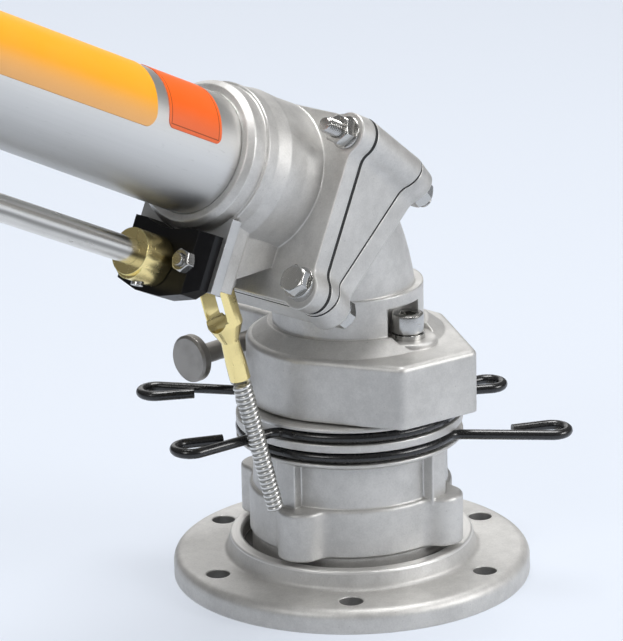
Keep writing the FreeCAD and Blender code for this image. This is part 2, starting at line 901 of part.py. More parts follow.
def brake_plunger():
    """Sliding pin whose slanted end meets the thumb screw's cone."""
    inner = -drum_radius - brake_gap - pad_thickness
    length = inner - brake_line
    base = Vector(brake_plunger_station, brake_line, brake_level)
    pin = cylinder(plunger_radius, length, base, Y_AXIS)
    low = brake_level - plunger_radius - 1
    left = brake_plunger_station - plunger_radius
    right = brake_plunger_station + plunger_radius + 1
    wedge = [
        Vector(left, brake_line - 1, low),
        Vector(right, brake_line - 1, low),
        Vector(right, brake_line + 2 * plunger_radius + 1, low),
        Vector(left, brake_line, low),
    ]
    return pin.cut(prism(wedge, Vector(0, 0, 2 * plunger_radius + 2)))


def brake_pad():
    """Friction pad on the plunger's inner end."""
    base = Vector(brake_plunger_station, -drum_radius - brake_gap - pad_thickness, brake_level)
    pad = cylinder(pad_radius, pad_thickness, base, Y_AXIS)
    low = Vector(0, 0, brake_level - 1.5 * pad_radius)
    return pad.cut(cylinder(drum_radius + brake_gap, 3 * pad_radius, low))


def thumb_screw():
    """Plain disc with bevelled rims on a threaded shank with a cone point."""
    apex = brake_cone_apex()
    back = thumb_face_station - thumb_thickness
    profile = [
        (0, apex),
        (thumb_shank_radius, apex + thumb_shank_radius),
        (thumb_shank_radius, back),
        (thumb_radius - thumb_bevel, back),
        (thumb_radius, back + thumb_bevel),
        (thumb_radius, thumb_face_station - thumb_bevel),
        (thumb_radius - thumb_bevel, thumb_face_station),
        (0, thumb_face_station),
    ]
    return turned(profile, X_AXIS).translate(Vector(0, brake_line, brake_level))


# Wedge and gaskets

def lower_gasket():
    """Thin gasket between the elbow flange and the wedge."""
    half = lower_gasket_thickness / 2
    _, rise = elbow_bend()
    return drilled_sheet(-half, half, lower_face_frame(), rise)


def upper_gasket():
    """Thick gasket between the wedge and the barrel socket."""
    half = upper_gasket_thickness / 2
    return drilled_sheet(-half, half, upper_face_frame(), flange_drop)


def drilled_sheet(start, end, frame, rise):
    """Flange-shaped sheet with bolt holes and a waterway hole that lies above its middle."""
    sheet = flange_plate(start, end)
    holes = [cylinder(elbow_bore_radius, end - start, Vector(start, 0, rise), X_AXIS)]
    for point in flange_bolt_points(start, (1,)):
        holes.append(cylinder(m8_radius + bolt_gap, end - start, point, X_AXIS))
    sheet = placed(sheet.cut(Part.makeCompound(holes)), frame)
    return sheet.cut(Part.makeCompound(through_bolt_bars(m8_radius + bolt_gap)))


def angle_wedge():
    """Spacer between the two flanges that sets the barrel's elevation."""
    upper = upper_face_frame()
    lower = lower_face_frame()
    top_wire = flange_wire(-upper_gasket_thickness / 2)
    top_wire.Placement = upper
    bottom_wire = flange_wire(lower_gasket_thickness / 2)
    bottom_wire.Placement = lower
    body = Part.makeLoft([bottom_wire, top_wire], True, True)
    bore_ends = []
    _, lower_rise = elbow_bend()
    for frame, offset, rise in ((lower, -1.0, lower_rise), (upper, 1.0, flange_drop)):
        circle = Part.Wire(Part.makeCircle(elbow_bore_radius, Vector(offset, 0, rise), X_AXIS))
        circle.Placement = frame
        bore_ends.append(circle)
    cuts = [Part.makeLoft(bore_ends, True, True)]
    for point in flange_bolt_points(-upper_gasket_thickness / 2, (1,)):
        cuts.append(placed(cylinder(m8_radius, stud_depth, point, X_AXIS * -1), upper))
    for point in flange_bolt_points(lower_gasket_thickness / 2, (1,)):
        cuts.append(placed(cylinder(m8_radius, stud_depth, point, X_AXIS), lower))
    cuts += through_bolt_bars(m8_radius + bolt_gap)
    return body.cut(Part.makeCompound(cuts))


def through_line():
    """Middle point and direction of the bolts that pass both flanges at the wedge's toe."""
    upper = upper_face_frame().multVec(Vector(0, 0, -flange_bolt_half_height))
    lower = lower_face_frame().multVec(Vector(0, 0, -flange_bolt_half_height))
    middle_tilt = math.radians((barrel_tilt + seat_tilt) / 2)
    return (upper + lower) * 0.5, Vector(math.cos(middle_tilt), 0, math.sin(middle_tilt))


def through_bolt_bars(radius, reach=26.0):
    """Two round bars along the through bolts."""
    middle, along = through_line()
    bars = []
    for sign in (1, -1):
        start = middle - along * reach + Vector(0, sign * flange_bolt_half_width, 0)
        bars.append(cylinder(radius, 2 * reach, start, along))
    return bars


def through_seats():
    """Distances from the middle point to the outer washer faces, above and below."""
    half_angle = math.radians((seat_tilt - barrel_tilt) / 2)
    middle, along = through_line()
    slope = m8_washer_radius * math.tan(half_angle)
    faces = []
    for frame, offset in (
        (upper_face_frame(), upper_gasket_thickness / 2 + upper_flange_thickness),
        (lower_face_frame(), -lower_gasket_thickness / 2 - lower_flange_thickness),
    ):
        normal = frame.Rotation.multVec(X_AXIS)
        point = frame.multVec(Vector(offset, 0, 0))
        faces.append((point - middle).dot(normal) / along.dot(normal))
    return faces[0] + slope + 1.0, -faces[1] + slope + 1.0


def through_bolts():
    """Hexagon bolts at the toe, through both flanges and the wedge."""
    middle, along = through_line()
    above, below = through_seats()
    bolts = []
    for sign in (1, -1):
        centre = middle + Vector(0, sign * flange_bolt_half_width, 0)
        head = hexagon(m8_nut_flats, m8_nut_height - 1, centre + along * above, along)
        length = above + below + m8_nut_height + 3
        shank = cylinder(m8_radius - 0.05, length, centre + along * above, along * -1)
        bolts.append(fused([head, shank]))
    return group(bolts)


def through_nuts():
    """Nuts of the through bolts, below the elbow flange."""
    middle, along = through_line()
    _, below = through_seats()
    nuts = []
    for sign in (1, -1):
        centre = middle + Vector(0, sign * flange_bolt_half_width, 0)
        nuts.append(nut(m8_nut_flats, m8_nut_height, m8_radius, centre - along * below, along * -1))
    return group(nuts)


def through_washers():
    """Tapered washers that square the through bolts to both slanting faces."""
    middle, along = through_line()
    above, below = through_seats()
    washers = []
    for frame, offset, seat, way in (
        (upper_face_frame(), upper_gasket_thickness / 2 + upper_flange_thickness, above, along),
        (lower_face_frame(), -lower_gasket_thickness / 2 - lower_flange_thickness, below, along * -1),
    ):
        reach = 2 * flange_bolt_half_width + 40
        span = (offset, offset + 40) if offset > 0 else (offset - 40, offset)
        keep = placed(box(span, (-reach, reach), (-reach, reach)), frame)
        for sign in (1, -1):
            centre = middle + Vector(0, sign * flange_bolt_half_width, 0)
            ring = pipe(m8_washer_radius, m8_radius + bolt_gap, 12, centre + way * (seat - 12), way)
            washers.append(ring.common(keep).Solids[0])
    return group(washers)


def stud_sets():
    """Seats and directions of the four top studs, as (face point, outward direction)."""
    seats = []
    upper_offset = upper_gasket_thickness / 2 + upper_flange_thickness
    lower_offset = lower_gasket_thickness / 2 + lower_flange_thickness
    for point in flange_bolt_points(upper_offset, (1,)):
        frame = upper_face_frame()
        seats.append((frame.multVec(point), frame.Rotation.multVec(X_AXIS), upper_offset - 1))
    for point in flange_bolt_points(-lower_offset, (1,)):
        frame = lower_face_frame()
        seats.append((frame.multVec(point), frame.Rotation.multVec(X_AXIS) * -1, lower_offset - 0.5))
    return seats


def flange_studs():
    """Studs screwed into the wedge, two up through the socket flange and two down."""
    studs = []
    for seat, way, inset in stud_sets():
        tip = m8_washer_thickness + m8_nut_height + stud_tip
        if way.z < 0:
            tip -= stud_tip / 2
        start = seat - way * (inset + stud_depth - 1)
        stud = cylinder(m8_radius - 0.02, inset + stud_depth - 1 + tip, start, way)
        studs.append(stud)
    return group(studs)


def flange_nuts():
    """Nuts on the four studs."""
    return group([
        nut(m8_nut_flats, m8_nut_height, m8_radius, seat + way * m8_washer_thickness, way)
        for seat, way, _ in stud_sets()
    ])


def flange_washers():
    """Flat washers under the four nuts."""
    return group([
        pipe(m8_washer_radius, m8_radius + bolt_gap, m8_washer_thickness, seat, way)
        for seat, way, _ in stud_sets()
    ])


# Barrel

def tube_radius_at(station):
    """Outer radius of the barrel tube at a distance along the barrel."""
    return tube_radius - tube_slope * (station - socket_mouth_station)


def cone_between(start, end, outer_offset, inner_offset):
    """Ring between two stations that follows the tube's taper."""
    return turned([
        (tube_radius_at(start) + inner_offset, start),
        (tube_radius_at(start) + outer_offset, start),
        (tube_radius_at(end) + outer_offset, end),
        (tube_radius_at(end) + inner_offset, end),
    ], X_AXIS)


def barrel_tube():
    """Long tapered tube."""
    return placed(cone_between(tube_seat_station, tube_end_station, 0, -tube_wall), barrel_frame)


def barrel_socket():
    """Casting that holds the tube: flange, flared body, mouth ring and bracket legs."""
    seat = upper_gasket_thickness / 2
    plate = flange_plate(seat, seat + upper_flange_thickness)
    plate.translate(Vector(flange_station, 0, -flange_drop))
    face = flange_station + seat + upper_flange_thickness
    body = turned([
        (0, face - 1),
        (socket_root_radius, face - 1),
        (socket_root_radius, face),
        (socket_bulge_radius, socket_bulge_station),
        (socket_body_radius + 1.2, socket_body_station - 8),
        (socket_body_radius, socket_body_station),
        (socket_body_radius, socket_line_station),
        (socket_mouth_radius, socket_line_station),
        (socket_mouth_radius, socket_mouth_station - 3),
        (socket_mouth_inner, socket_mouth_station),
        (0, socket_mouth_station),
    ], X_AXIS)
    leg = box((leg_station, plate_station), (leg_inner, leg_outer), (-leg_drop, -25))
    rib_points = [
        Vector(face - 1, 18, -40),
        Vector(leg_station + 1, 18, -leg_drop + 6),
        Vector(leg_station + 1, 18, -30),
        Vector(face - 1, 18, -30),
    ]
    rib = prism(rib_points, Vector(0, 5, 0))
    outer = fused([plate, body] + mirrored(leg) + mirrored(rib))
    bore = turned([
        (0, flange_station),
        (elbow_bore_radius, flange_station),
        (socket_bore_radius, tube_seat_station),
        (tube_radius_at(tube_seat_station) + running_gap, tube_seat_station),
        (tube_radius_at(socket_mouth_station) + running_gap, socket_mouth_station + 1),
        (0, socket_mouth_station + 1),
    ], X_AXIS)
    cuts = [bore]
    groove = tube_radius_at(seal_station)
    cuts.append(pipe(groove + 2.4, groove - 0.1, 4.0, Vector(seal_station, 0, 0), X_AXIS))
    for point in flange_bolt_points(face, (1,)):
        start = Vector(flange_station, point.y, point.z - flange_drop)
        cuts.append(cylinder(m8_radius + bolt_gap, face - flange_station, start, X_AXIS))
    washer_room = m8_washer_radius + 0.8
    for point in flange_bolt_points(face, (1,)):
        start = Vector(face, point.y, point.z - flange_drop)
        cuts.append(cylinder(washer_room, 30, start, X_AXIS))
    for sign in (1, -1):
        start = Vector(leg_station, sign * block_bolt_offset, -block_bolt_drop)
        cuts.append(cylinder(m6_radius, plate_station - leg_station, start, X_AXIS))
    middle, along = through_line()
    above, _ = through_seats()
    solid = placed(outer.cut(Part.makeCompound(cuts)), barrel_frame)
    rooms = []
    for sign in (1, -1):
        start = middle + Vector(0, sign * flange_bolt_half_width, 0) + along * (above - 1.0)
        rooms.append(cylinder(washer_room, 30, start, along))
    return solid.cut(Part.makeCompound(through_bolt_bars(m8_radius + bolt_gap) + rooms))


def barrel_seal():
    """Square-section seal between socket and tube."""
    inner = tube_radius_at(seal_station) + 0.02
    ring = pipe(inner + 2.2, inner, 3.8, Vector(seal_station + 0.1, 0, 0), X_AXIS)
    return placed(ring, barrel_frame)


def stream_straightener():
    """Six thin vanes on a core, pressed into the tube."""
    start = tube_seat_station + 10
    length = 70.0
    reach = tube_radius_at(start + length) - tube_wall - 0.1
    core = pipe(7, 5, length, ORIGIN, X_AXIS)
    vane = box((0, length), (6, reach), (-0.6, 0.6))
    vanes = [vane.copy().rotate(ORIGIN, X_AXIS, 60 * k) for k in range(6)]
    shape = fused([core] + vanes)
    shape.translate(Vector(start, 0, 0))
    return placed(shape, barrel_frame)


def tube_label(start, end, first, last, corner):
    """Sticker on the tube between two stations and two angles from the top toward +Y."""
    shell = cone_between(start - 1, end + 1, label_thickness + label_bed, label_bed)
    middle = (first + last) / 2
    half_width = tube_radius_at(start) * math.sin(math.radians((last - first) / 2))
    block = box((start, end), (-half_width, half_width), (0, tube_radius + 5))
    upright = edges_at(block, lambda p: abs(abs(p.y) - half_width) < 0.01)
    upright = [edge for edge in upright if abs(edge.Vertexes[0].Z - edge.Vertexes[-1].Z) > 1]
    block = block.makeFillet(corner, upright)
    block.rotate(ORIGIN, X_AXIS, -middle)
    return placed(shell.common(block), barrel_frame)


def orange_label():
    """Bare orange sticker next to the socket."""
    return tube_label(orange_start, orange_end, orange_from, orange_to, 3.0)


def yellow_label():
    """Bare yellow sticker along the tube."""
    return tube_label(yellow_start, yellow_end, yellow_from, yellow_to, 6.0)


# Rod bracket

def bracket_plate():
    """Aluminium plate on the socket's legs, cut round the socket."""
    end = plate_station + plate_thickness
    plate = box((plate_station, end), (-plate_half_width, plate_half_width), (-plate_bottom, -plate_top))
    cuts = [
        cylinder(socket_body_radius + slide_gap, plate_thickness, Vector(plate_station, 0, 0), X_AXIS),
        cylinder(rod_radius + slide_gap, plate_thickness, Vector(plate_station, 0, -rod_drop), X_AXIS),
    ]
    cuts += block_bolt_bars(plate_station, plate_thickness, m6_radius + bolt_gap)
    return placed(plate.cut(Part.makeCompound(cuts)), barrel_frame)


def block_bolt_bars(start, length, radius):
    """Two bars along the block bolts, in the barrel frame."""
    bars = []
    for sign in (1, -1):
        point = Vector(start, sign * block_bolt_offset, -block_bolt_drop)
        bars.append(cylinder(radius, length, point, X_AXIS))
    return bars


def rod_bearing_block():
    """Black bearing block of the shift rod, with chamfered ends and a saddle."""
    start = plate_station + plate_thickness
    half = block_half_width
    side = [
        (half, -block_top),
        (half, -block_edge_drop),
        (half - 5.5, -block_edge_drop - 4.5),
        (8, -block_middle_drop),
    ]
    outline = side + [(-y, z) for y, z in side[::-1]]
    body = prism([Vector(start, y, z) for y, z in outline], Vector(block_front - start, 0, 0))
    corner = [
        Vector(block_front + 1, half + 1, -80),
        Vector(block_front - block_chamfer, half + 1, -80),
        Vector(block_front + 1, half - block_chamfer, -80),
    ]
    cuts = mirrored(prism(corner, Vector(0, 0, 80)))
    cuts.append(cylinder(socket_body_radius + slide_gap, 30, Vector(start, 0, 0), X_AXIS))
    cuts.append(cylinder(rod_radius + running_gap, 30, Vector(start, 0, -rod_drop), X_AXIS))
    cuts += block_bolt_bars(start, 30, m6_radius + bolt_gap)
    return placed(body.cut(Part.makeCompound(cuts)), barrel_frame)


def block_bolts():
    """Studs from the socket's legs through plate and block."""
    length = block_front + m6_nut_height + 1.5 - leg_station
    bars = block_bolt_bars(leg_station + 0.5, length, m6_radius - 0.02)
    return group([placed(bar, barrel_frame) for bar in bars])


def block_nuts():
    """Nuts on the block's front face."""
    nuts = []
    for sign in (1, -1):
        seat = Vector(block_front, sign * block_bolt_offset, -block_bolt_drop)
        nuts.append(placed(nut(m6_nut_flats, m6_nut_height, m6_radius, seat, X_AXIS), barrel_frame))
    return group(nuts)


# Shift rod group: X along the rod, Z up, turned about the rod by shift_rest

def shift_frame():
    """Frame on the rod's axis at the barrel's zero station, turned to rest."""
    local = FreeCAD.Placement(Vector(0, 0, -rod_drop), FreeCAD.Rotation(X_AXIS, shift_rest))
    return barrel_frame.multiply(local)


def shift_rod():
    """Long round rod, cross-drilled at its rear end for the clevis pin."""
    rod = cylinder(rod_radius, rod_front_station - rod_rear_station, Vector(rod_rear_station, 0, 0), X_AXIS)
    rod = rod.makeChamfer(0.8, edges_at(rod, lambda p: p.x < rod_rear_station + 0.01))
    pin_hole = cylinder(pin_radius + 0.02, 4 * rod_radius, Vector(pin_station, -2 * rod_radius, 0), Y_AXIS)
    return placed(rod.cut(pin_hole), shift_frame())


def shift_collar():
    """Brass collar in front of the block, with a lobe for its set screw."""
    start = Vector(block_front + 0.4, 0, 0)
    main = cylinder(collar_radius, collar_length, start, X_AXIS)
    lobe = cylinder(collar_lobe_radius, collar_length - 1.5, start + Vector(0, 0, -collar_lobe_drop), X_AXIS)
    bore = cylinder(rod_radius + 0.02, collar_length, start, X_AXIS)
    screw = cylinder(m6_radius, 30, start + Vector(collar_length / 2, 0, 0), Z_AXIS * -1)
    return placed(fused([main, lobe]).cut(Part.makeCompound([bore, screw])), shift_frame())


def collar_screw():
    """Set screw that locks the collar to the rod."""
    start = Vector(block_front + 0.4 + collar_length / 2, 0, -rod_radius - 0.05)
    length = collar_lobe_drop + collar_lobe_radius + 1.5 - rod_radius
    screw = cylinder(m6_radius - 0.02, length, start, Z_AXIS * -1)
    key = hexagon(3.0, 3.0, start + Vector(0, 0, -length), Z_AXIS)
    return placed(screw.cut(key), shift_frame())


def clevis_pin():
    """Pin through the rod and the clevis, with a head at each end."""
    half = clevis_radius + running_gap
    shank = cylinder(pin_radius, 2 * half, Vector(pin_station, -half, 0), Y_AXIS)
    near = cylinder(pin_head_radius, pin_head_thickness, Vector(pin_station, half, 0), Y_AXIS)
    near = near.makeFillet(1.0, edges_at(near, lambda p: p.y > half + pin_head_thickness - 0.01))
    far = cylinder(pin_head_radius, 1.5, Vector(pin_station, -half - 1.5, 0), Y_AXIS)
    return placed(fused([shank, near, far]), shift_frame())


def arm_yoke():
    """Fork clamped on the rod's front end that carries the drive arm."""
    hub = cylinder(yoke_radius, yoke_length, Vector(yoke_station, 0, 0), X_AXIS)
    inner = arm_width / 2 + slide_gap
    span = (yoke_station + yoke_length - 4, arm_pin_station + arm_hub_radius)
    prong = box(span, (inner, inner + yoke_prong), (-7, 7))
    bridge = box((span[0], span[0] + 4), (-inner - yoke_prong, inner + yoke_prong), (-7, 7))
    cuts = [
        cylinder(rod_radius + 0.02, rod_front_station - yoke_station, Vector(yoke_station, 0, 0), X_AXIS),
        cylinder(4.02, 60, Vector(arm_pin_station, -30, 0), Y_AXIS),
        cylinder(m6_radius, 30, Vector(yoke_station + 8, 0, 0), Z_AXIS * -1),
    ]
    body = fused([hub, bridge] + mirrored(prong))
    return placed(body.cut(Part.makeCompound(cuts)), shift_frame())


def yoke_screw():
    """Set screw that locks the yoke to the rod."""
    start = Vector(yoke_station + 8, 0, -rod_radius - 0.05)
    screw = cylinder(m6_radius - 0.02, yoke_radius - rod_radius + 1.5, start, Z_AXIS * -1)
    return placed(screw, shift_frame())


def arm_pin():
    """Pin of the drive arm, with a head at each end."""
    half = arm_width / 2 + slide_gap + yoke_prong
    shank = cylinder(4.0, 2 * half, Vector(arm_pin_station, -half, 0), Y_AXIS)
    head = cylinder(6.0, 2.5, Vector(arm_pin_station, half, 0), Y_AXIS)
    return placed(fused([shank] + mirrored(head)), shift_frame())


# Trip rod: Z along the hanging rod, Y along the clevis pin

def trip_frame():
    """Frame at the clevis pin with -Z down the trip rod."""
    tilt = FreeCAD.Rotation(Y_AXIS, barrel_tilt + trip_lean)
    frame = shift_frame().multiply(FreeCAD.Placement(Vector(pin_station, 0, 0), tilt))
    return frame


def clevis():
    """Turned brass fork with a waisted neck and a seat for the spring."""
    shape = turned([
        (0, clevis_ear_above),
        (clevis_radius, clevis_ear_above),
        (clevis_radius, -clevis_shoulder),
        (clevis_neck_top_radius, -clevis_body_length),
        (clevis_neck_radius, -clevis_neck_length + 8),
        (clevis_neck_radius, -clevis_neck_length),
        (0, -clevis_neck_length),
    ])
    floor = -clevis_slot_length + clevis_slot / 2
    reach = 2 * clevis_radius
    flat = box((clevis_flat, reach), (-reach, reach), (-clevis_shoulder + 3, reach))
    cuts = [flat, flat.mirror(ORIGIN, X_AXIS)]
    cuts.append(box((-reach, reach), (-clevis_slot / 2, clevis_slot / 2), (floor, reach)))
    cuts.append(cylinder(clevis_slot / 2, 2 * reach, Vector(-reach, 0, floor), X_AXIS))
    cuts.append(cylinder(pin_radius + running_gap, 2 * reach, Vector(0, -reach, 0), Y_AXIS))
    seat_start = spring_entry()[1]
    seat_start.z = -clevis_neck_length
    cuts.append(cylinder(spring_wire_radius + running_gap, spring_tail, seat_start))
    return placed(shape.cut(Part.makeCompound(cuts)), trip_frame())


def spring_point(turns):
    """Point of the spring's centre line, counted in turns from the top coil."""
    share = turns / spring_turns
    radius = spring_top_radius + (spring_bottom_radius - spring_top_radius) * share
    top = -clevis_neck_length - 2 * spring_wire_radius - 0.1
    return polar(radius, -90.0 - 360.0 * turns, top - spring_pitch * turns)


def spring_heading(turns):
    """Unit tangent of the spring's centre line."""
    step = 1e-4
    heading = spring_point(turns + step) - spring_point(turns - step)
    return heading.normalize()


def spring_entry():
    """Tail end, bend start and bend middle of the wire where it leaves the clevis."""
    first = spring_point(0)
    heading = spring_heading(0)
    bend = 2 * spring_wire_radius
    rise = Z_AXIS - heading * heading.z
    rise = rise.normalize()
    level = Vector(heading.x, heading.y, 0).normalize()
    centre = first + rise * bend
    start = centre - level * bend
    outward = level + rise
    middle = centre - outward.normalize() * bend
    return start + Z_AXIS * spring_tail, start, middle


def biarc(start, heading, end, end_heading):
    """Two tangent arcs between two points with given headings, and their radii."""
    span = end - start
    bend = 2 * (1 - heading.dot(end_heading))
    along = span.dot(heading + end_heading)
    reach = (-along + math.sqrt(along ** 2 + bend * span.dot(span))) / bend
    first_corner = start + heading * reach
    last_corner = end - end_heading * reach
    joint = (first_corner + last_corner) * 0.5
    arcs = []
    radii = []
    for a, corner, b in ((start, first_corner, joint), (joint, last_corner, end)):
        chord_middle = (a + b) * 0.5
        half_chord = (b - a).Length / 2
        angle = math.acos(half_chord / reach)
        rise = corner - chord_middle
        middle = chord_middle + rise * (half_chord * math.tan(angle / 2) / rise.Length)
        arcs.append(arc_through(a, middle, b))
        radii.append(half_chord / math.sin(angle))
    return arcs, radii


def trip_spring():
    """Close-wound tapering spring, one wire, whose top end is set in the clevis."""
    quarter = 360.0 / spring_arc_step
    count = int(spring_turns * quarter)
    tail, bend_start, bend_middle = spring_entry()
    edges = [Part.makeLine(tail, bend_start), arc_through(bend_start, bend_middle, spring_point(0))]
    smallest = 2 * spring_wire_radius
    for k in range(count):
        a = k / quarter
        b = (k + 1) / quarter
        arcs, radii = biarc(spring_point(a), spring_heading(a), spring_point(b), spring_heading(b))
        edges += arcs
        smallest = min([smallest] + radii)
    path = Part.Wire(edges)
    section = Part.Wire(Part.makeCircle(spring_wire_radius, tail, Z_AXIS))
    spring = path.makePipeShell([section], True, False)
    samples = [spring_point(k / 48.0) for k in range(int(48 * spring_turns))]
    pitch = min((b - a).Length for a, b in zip(samples, samples[48:]))
    gap = pitch - 2 * spring_wire_radius
    print("trip spring: least gap to itself %.2f mm, smallest radius %.2f mm" % (gap, smallest))
    return placed(spring, trip_frame())


# Front of the barrel

def front_bracket():
    """Ring on the tube with a leg that carries the rod's front bush."""
    start = front_bracket_station
    end = start + front_bracket_length
    outer = tube_radius_at(start) + front_bracket_wall
    ring = cylinder(outer, front_bracket_length, Vector(start, 0, 0), X_AXIS)
    foot = -rod_drop - front_leg_margin
    leg = box((start, end), (-front_leg_half_width, front_leg_half_width), (foot, 0))
    cuts = [
        cone_bore(start, end, running_gap),
        cylinder(rod_radius + bush_wall, front_bracket_length, Vector(start, 0, -rod_drop), X_AXIS),
    ]
    middle = Vector((start + end) / 2, 0, 0)
    cuts.append(cylinder(m6_radius, 100, middle + Vector(0, -50, 0), Y_AXIS))
    return placed(fused([ring, leg]).cut(Part.makeCompound(cuts)), barrel_frame)


def cone_bore(start, end, offset):
    """Solid cone that follows the tube's outer surface, a little larger."""
    return turned([
        (0, start),
        (tube_radius_at(start) + offset, start),
        (tube_radius_at(end) + offset, end),
        (0, end),
    ], X_AXIS)


def front_bracket_screws():
    """Two set screws that hold the front bracket on the tube."""
    station = front_bracket_station + front_bracket_length / 2
    inner = tube_radius_at(station) + running_gap + 0.02
    length = front_bracket_wall + 2.0
    screw = cylinder(m6_radius - 0.02, length, Vector(station, inner, 0), Y_AXIS)
    head = hexagon(m6_nut_flats, 4.0, Vector(station, inner + length - 0.01, 0), Y_AXIS)
    return group([placed(solid, barrel_frame) for solid in mirrored(fused([screw, head]))])


def rod_bush():
    """Plain bush of the rod in the front bracket."""
    start = Vector(front_bracket_station, 0, -rod_drop)
    bush = pipe(rod_radius + bush_wall - 0.02, rod_radius + running_gap, front_bracket_length, start, X_AXIS)
    return placed(bush, barrel_frame)


def nozzle_holder():
    """Ring screwed on the tube's end that holds the nozzle."""
    start = holder_station
    end = start + holder_length
    radius = tube_radius_at(start) + holder_wall
    body = cylinder(radius, holder_length, Vector(start, 0, 0), X_AXIS)
    flat = box((start - 1, end + 1), (-3, 3), (radius - 1.5, radius + 5))
    flats = [flat.copy().rotate(ORIGIN, X_AXIS, 60 * k) for k in range(6)]
    mouth = Vector(tube_end_station, 0, 0)
    cuts = flats + [
        cone_bore(start, tube_end_station, running_gap),
        cylinder(nozzle_root_radius + running_gap, end - tube_end_station, mouth, X_AXIS),
    ]
    return placed(body.cut(Part.makeCompound(cuts)), barrel_frame)


def nozzle_seal():
    """Flat ring between the tube's end and the nozzle."""
    outer = nozzle_root_radius
    ring = pipe(outer, outer - 4.0, 3.0, Vector(tube_end_station, 0, 0), X_AXIS)
    return placed(ring, barrel_frame)


def nozzle():
    """Tapered bore nozzle."""
    start = tube_end_station + 3.0
    end = start + nozzle_length
    holder_end = holder_station + holder_length
    outer_exit = nozzle_exit_radius + nozzle_wall
    shape = turned([
        (nozzle_root_radius - 4.0, start),
        (nozzle_root_radius, start),
        (nozzle_root_radius, holder_end),
        (outer_exit + 1.0, end - nozzle_ring_length),
        (outer_exit, end - nozzle_ring_length),
        (outer_exit, end),
        (nozzle_exit_radius, end),
        (nozzle_exit_radius, end - nozzle_land),
    ], X_AXIS)
    return placed(shape, barrel_frame)


def nozzle_ring():
    """Locking ring at the nozzle's mouth."""
    start = tube_end_station + 3.0 + nozzle_length - nozzle_ring_length
    inner = nozzle_exit_radius + nozzle_wall
    ring = pipe(inner + 4.0, inner + 0.02, nozzle_ring_length, Vector(start, 0, 0), X_AXIS)
    return placed(ring, barrel_frame)


# Drive arm: X along the rod, origin at its pin

def arm_frame():
    """Frame at the drive arm's pin."""
    return shift_frame().multiply(FreeCAD.Placement(Vector(arm_pin_station, 0, 0), FreeCAD.Rotation()))


def flat_bar(points, height, width):
    """Bar of rectangular section along points in the XZ plane, with round joints."""
    pieces = []
    for (x0, z0), (x1, z1) in zip(points, points[1:]):
        length = math.hypot(x1 - x0, z1 - z0)
        bar = box((0, length), (-width / 2, width / 2), (-height / 2, height / 2))
        angle = math.degrees(math.atan2(z1 - z0, x1 - x0))
        bar.Placement = FreeCAD.Placement(Vector(x0, 0, z0), FreeCAD.Rotation(Y_AXIS, -angle))
        pieces.append(bar)
        pieces.append(cylinder(height / 2, width, Vector(x1, -width / 2, z1), Y_AXIS))
    return fused(pieces)


def drive_arm():
    """Swinging arm: hub, front limb to the spoon and tail to the counterweight."""
    hub = cylinder(arm_hub_radius, arm_width, Vector(0, -arm_width / 2, 0), Y_AXIS)
    front = flat_bar([(0, 0), (arm_reach, arm_rise), (arm_reach, spoon_floor())], arm_thickness, arm_width)
    tail = flat_bar([(0, 0), tail_knee, tail_end], arm_thickness, arm_width)
    bore = cylinder(4.0 + running_gap, 2 * arm_width, Vector(0, -arm_width, 0), Y_AXIS)
    return placed(fused([hub, front, tail]).cut(bore), arm_frame())


def spoon_floor():
    """Height above the rod of the spoon's lower edge."""
    return rod_drop - spoon_height / 2


def drive_spoon():
    """Curved vane that stands in the stream, screwed on the arm's front end."""
    low = spoon_floor() + arm_thickness / 2
    outer = spoon_width / 2
    centre = Vector(arm_reach - 8, 0, low)
    shell = pipe(outer, outer - spoon_wall, spoon_height, centre)
    span = (arm_reach - 8, arm_reach + spoon_width)
    front_half = box(span, (-spoon_width, spoon_width), (low, low + spoon_height))
    floor = cylinder(outer, spoon_wall, centre).common(front_half)
    return placed(fused([shell.common(front_half), floor]), arm_frame())


def counterweight():
    """Round weight across the tail of the arm."""
    start = Vector(tail_end[0], -weight_length / 2, tail_end[1])
    body = cylinder(weight_radius, weight_length, start, Y_AXIS)
    seat = flat_bar([tail_knee, tail_end, (tail_end[0] - 0.1, tail_end[1])],
                    arm_thickness + 0.1, arm_width + 0.1)
    screw = cylinder(m8_radius, 40, Vector(tail_end[0], 0, tail_end[1]), Z_AXIS * -1)
    return placed(body.cut(Part.makeCompound([seat, screw])), arm_frame())


def counterweight_screw():
    """Screw that locks the weight on the tail."""
    start = Vector(tail_end[0], 0, tail_end[1] - arm_thickness / 2 - 0.1)
    screw = cylinder(m8_radius - 0.02, weight_radius - arm_thickness / 2 + 2, start, Z_AXIS * -1)
    return placed(screw, arm_frame())


def upper_stop():
    """Stop wire in the upper groove."""
    return arc_stop(upper_groove_level, upper_stop_turn, upper_stop_lean, upper_stop_arms)


def lower_stop():
    """Stop wire in the lower groove."""
    return arc_stop(lower_groove_level, lower_stop_turn, lower_stop_lean, lower_stop_arms)


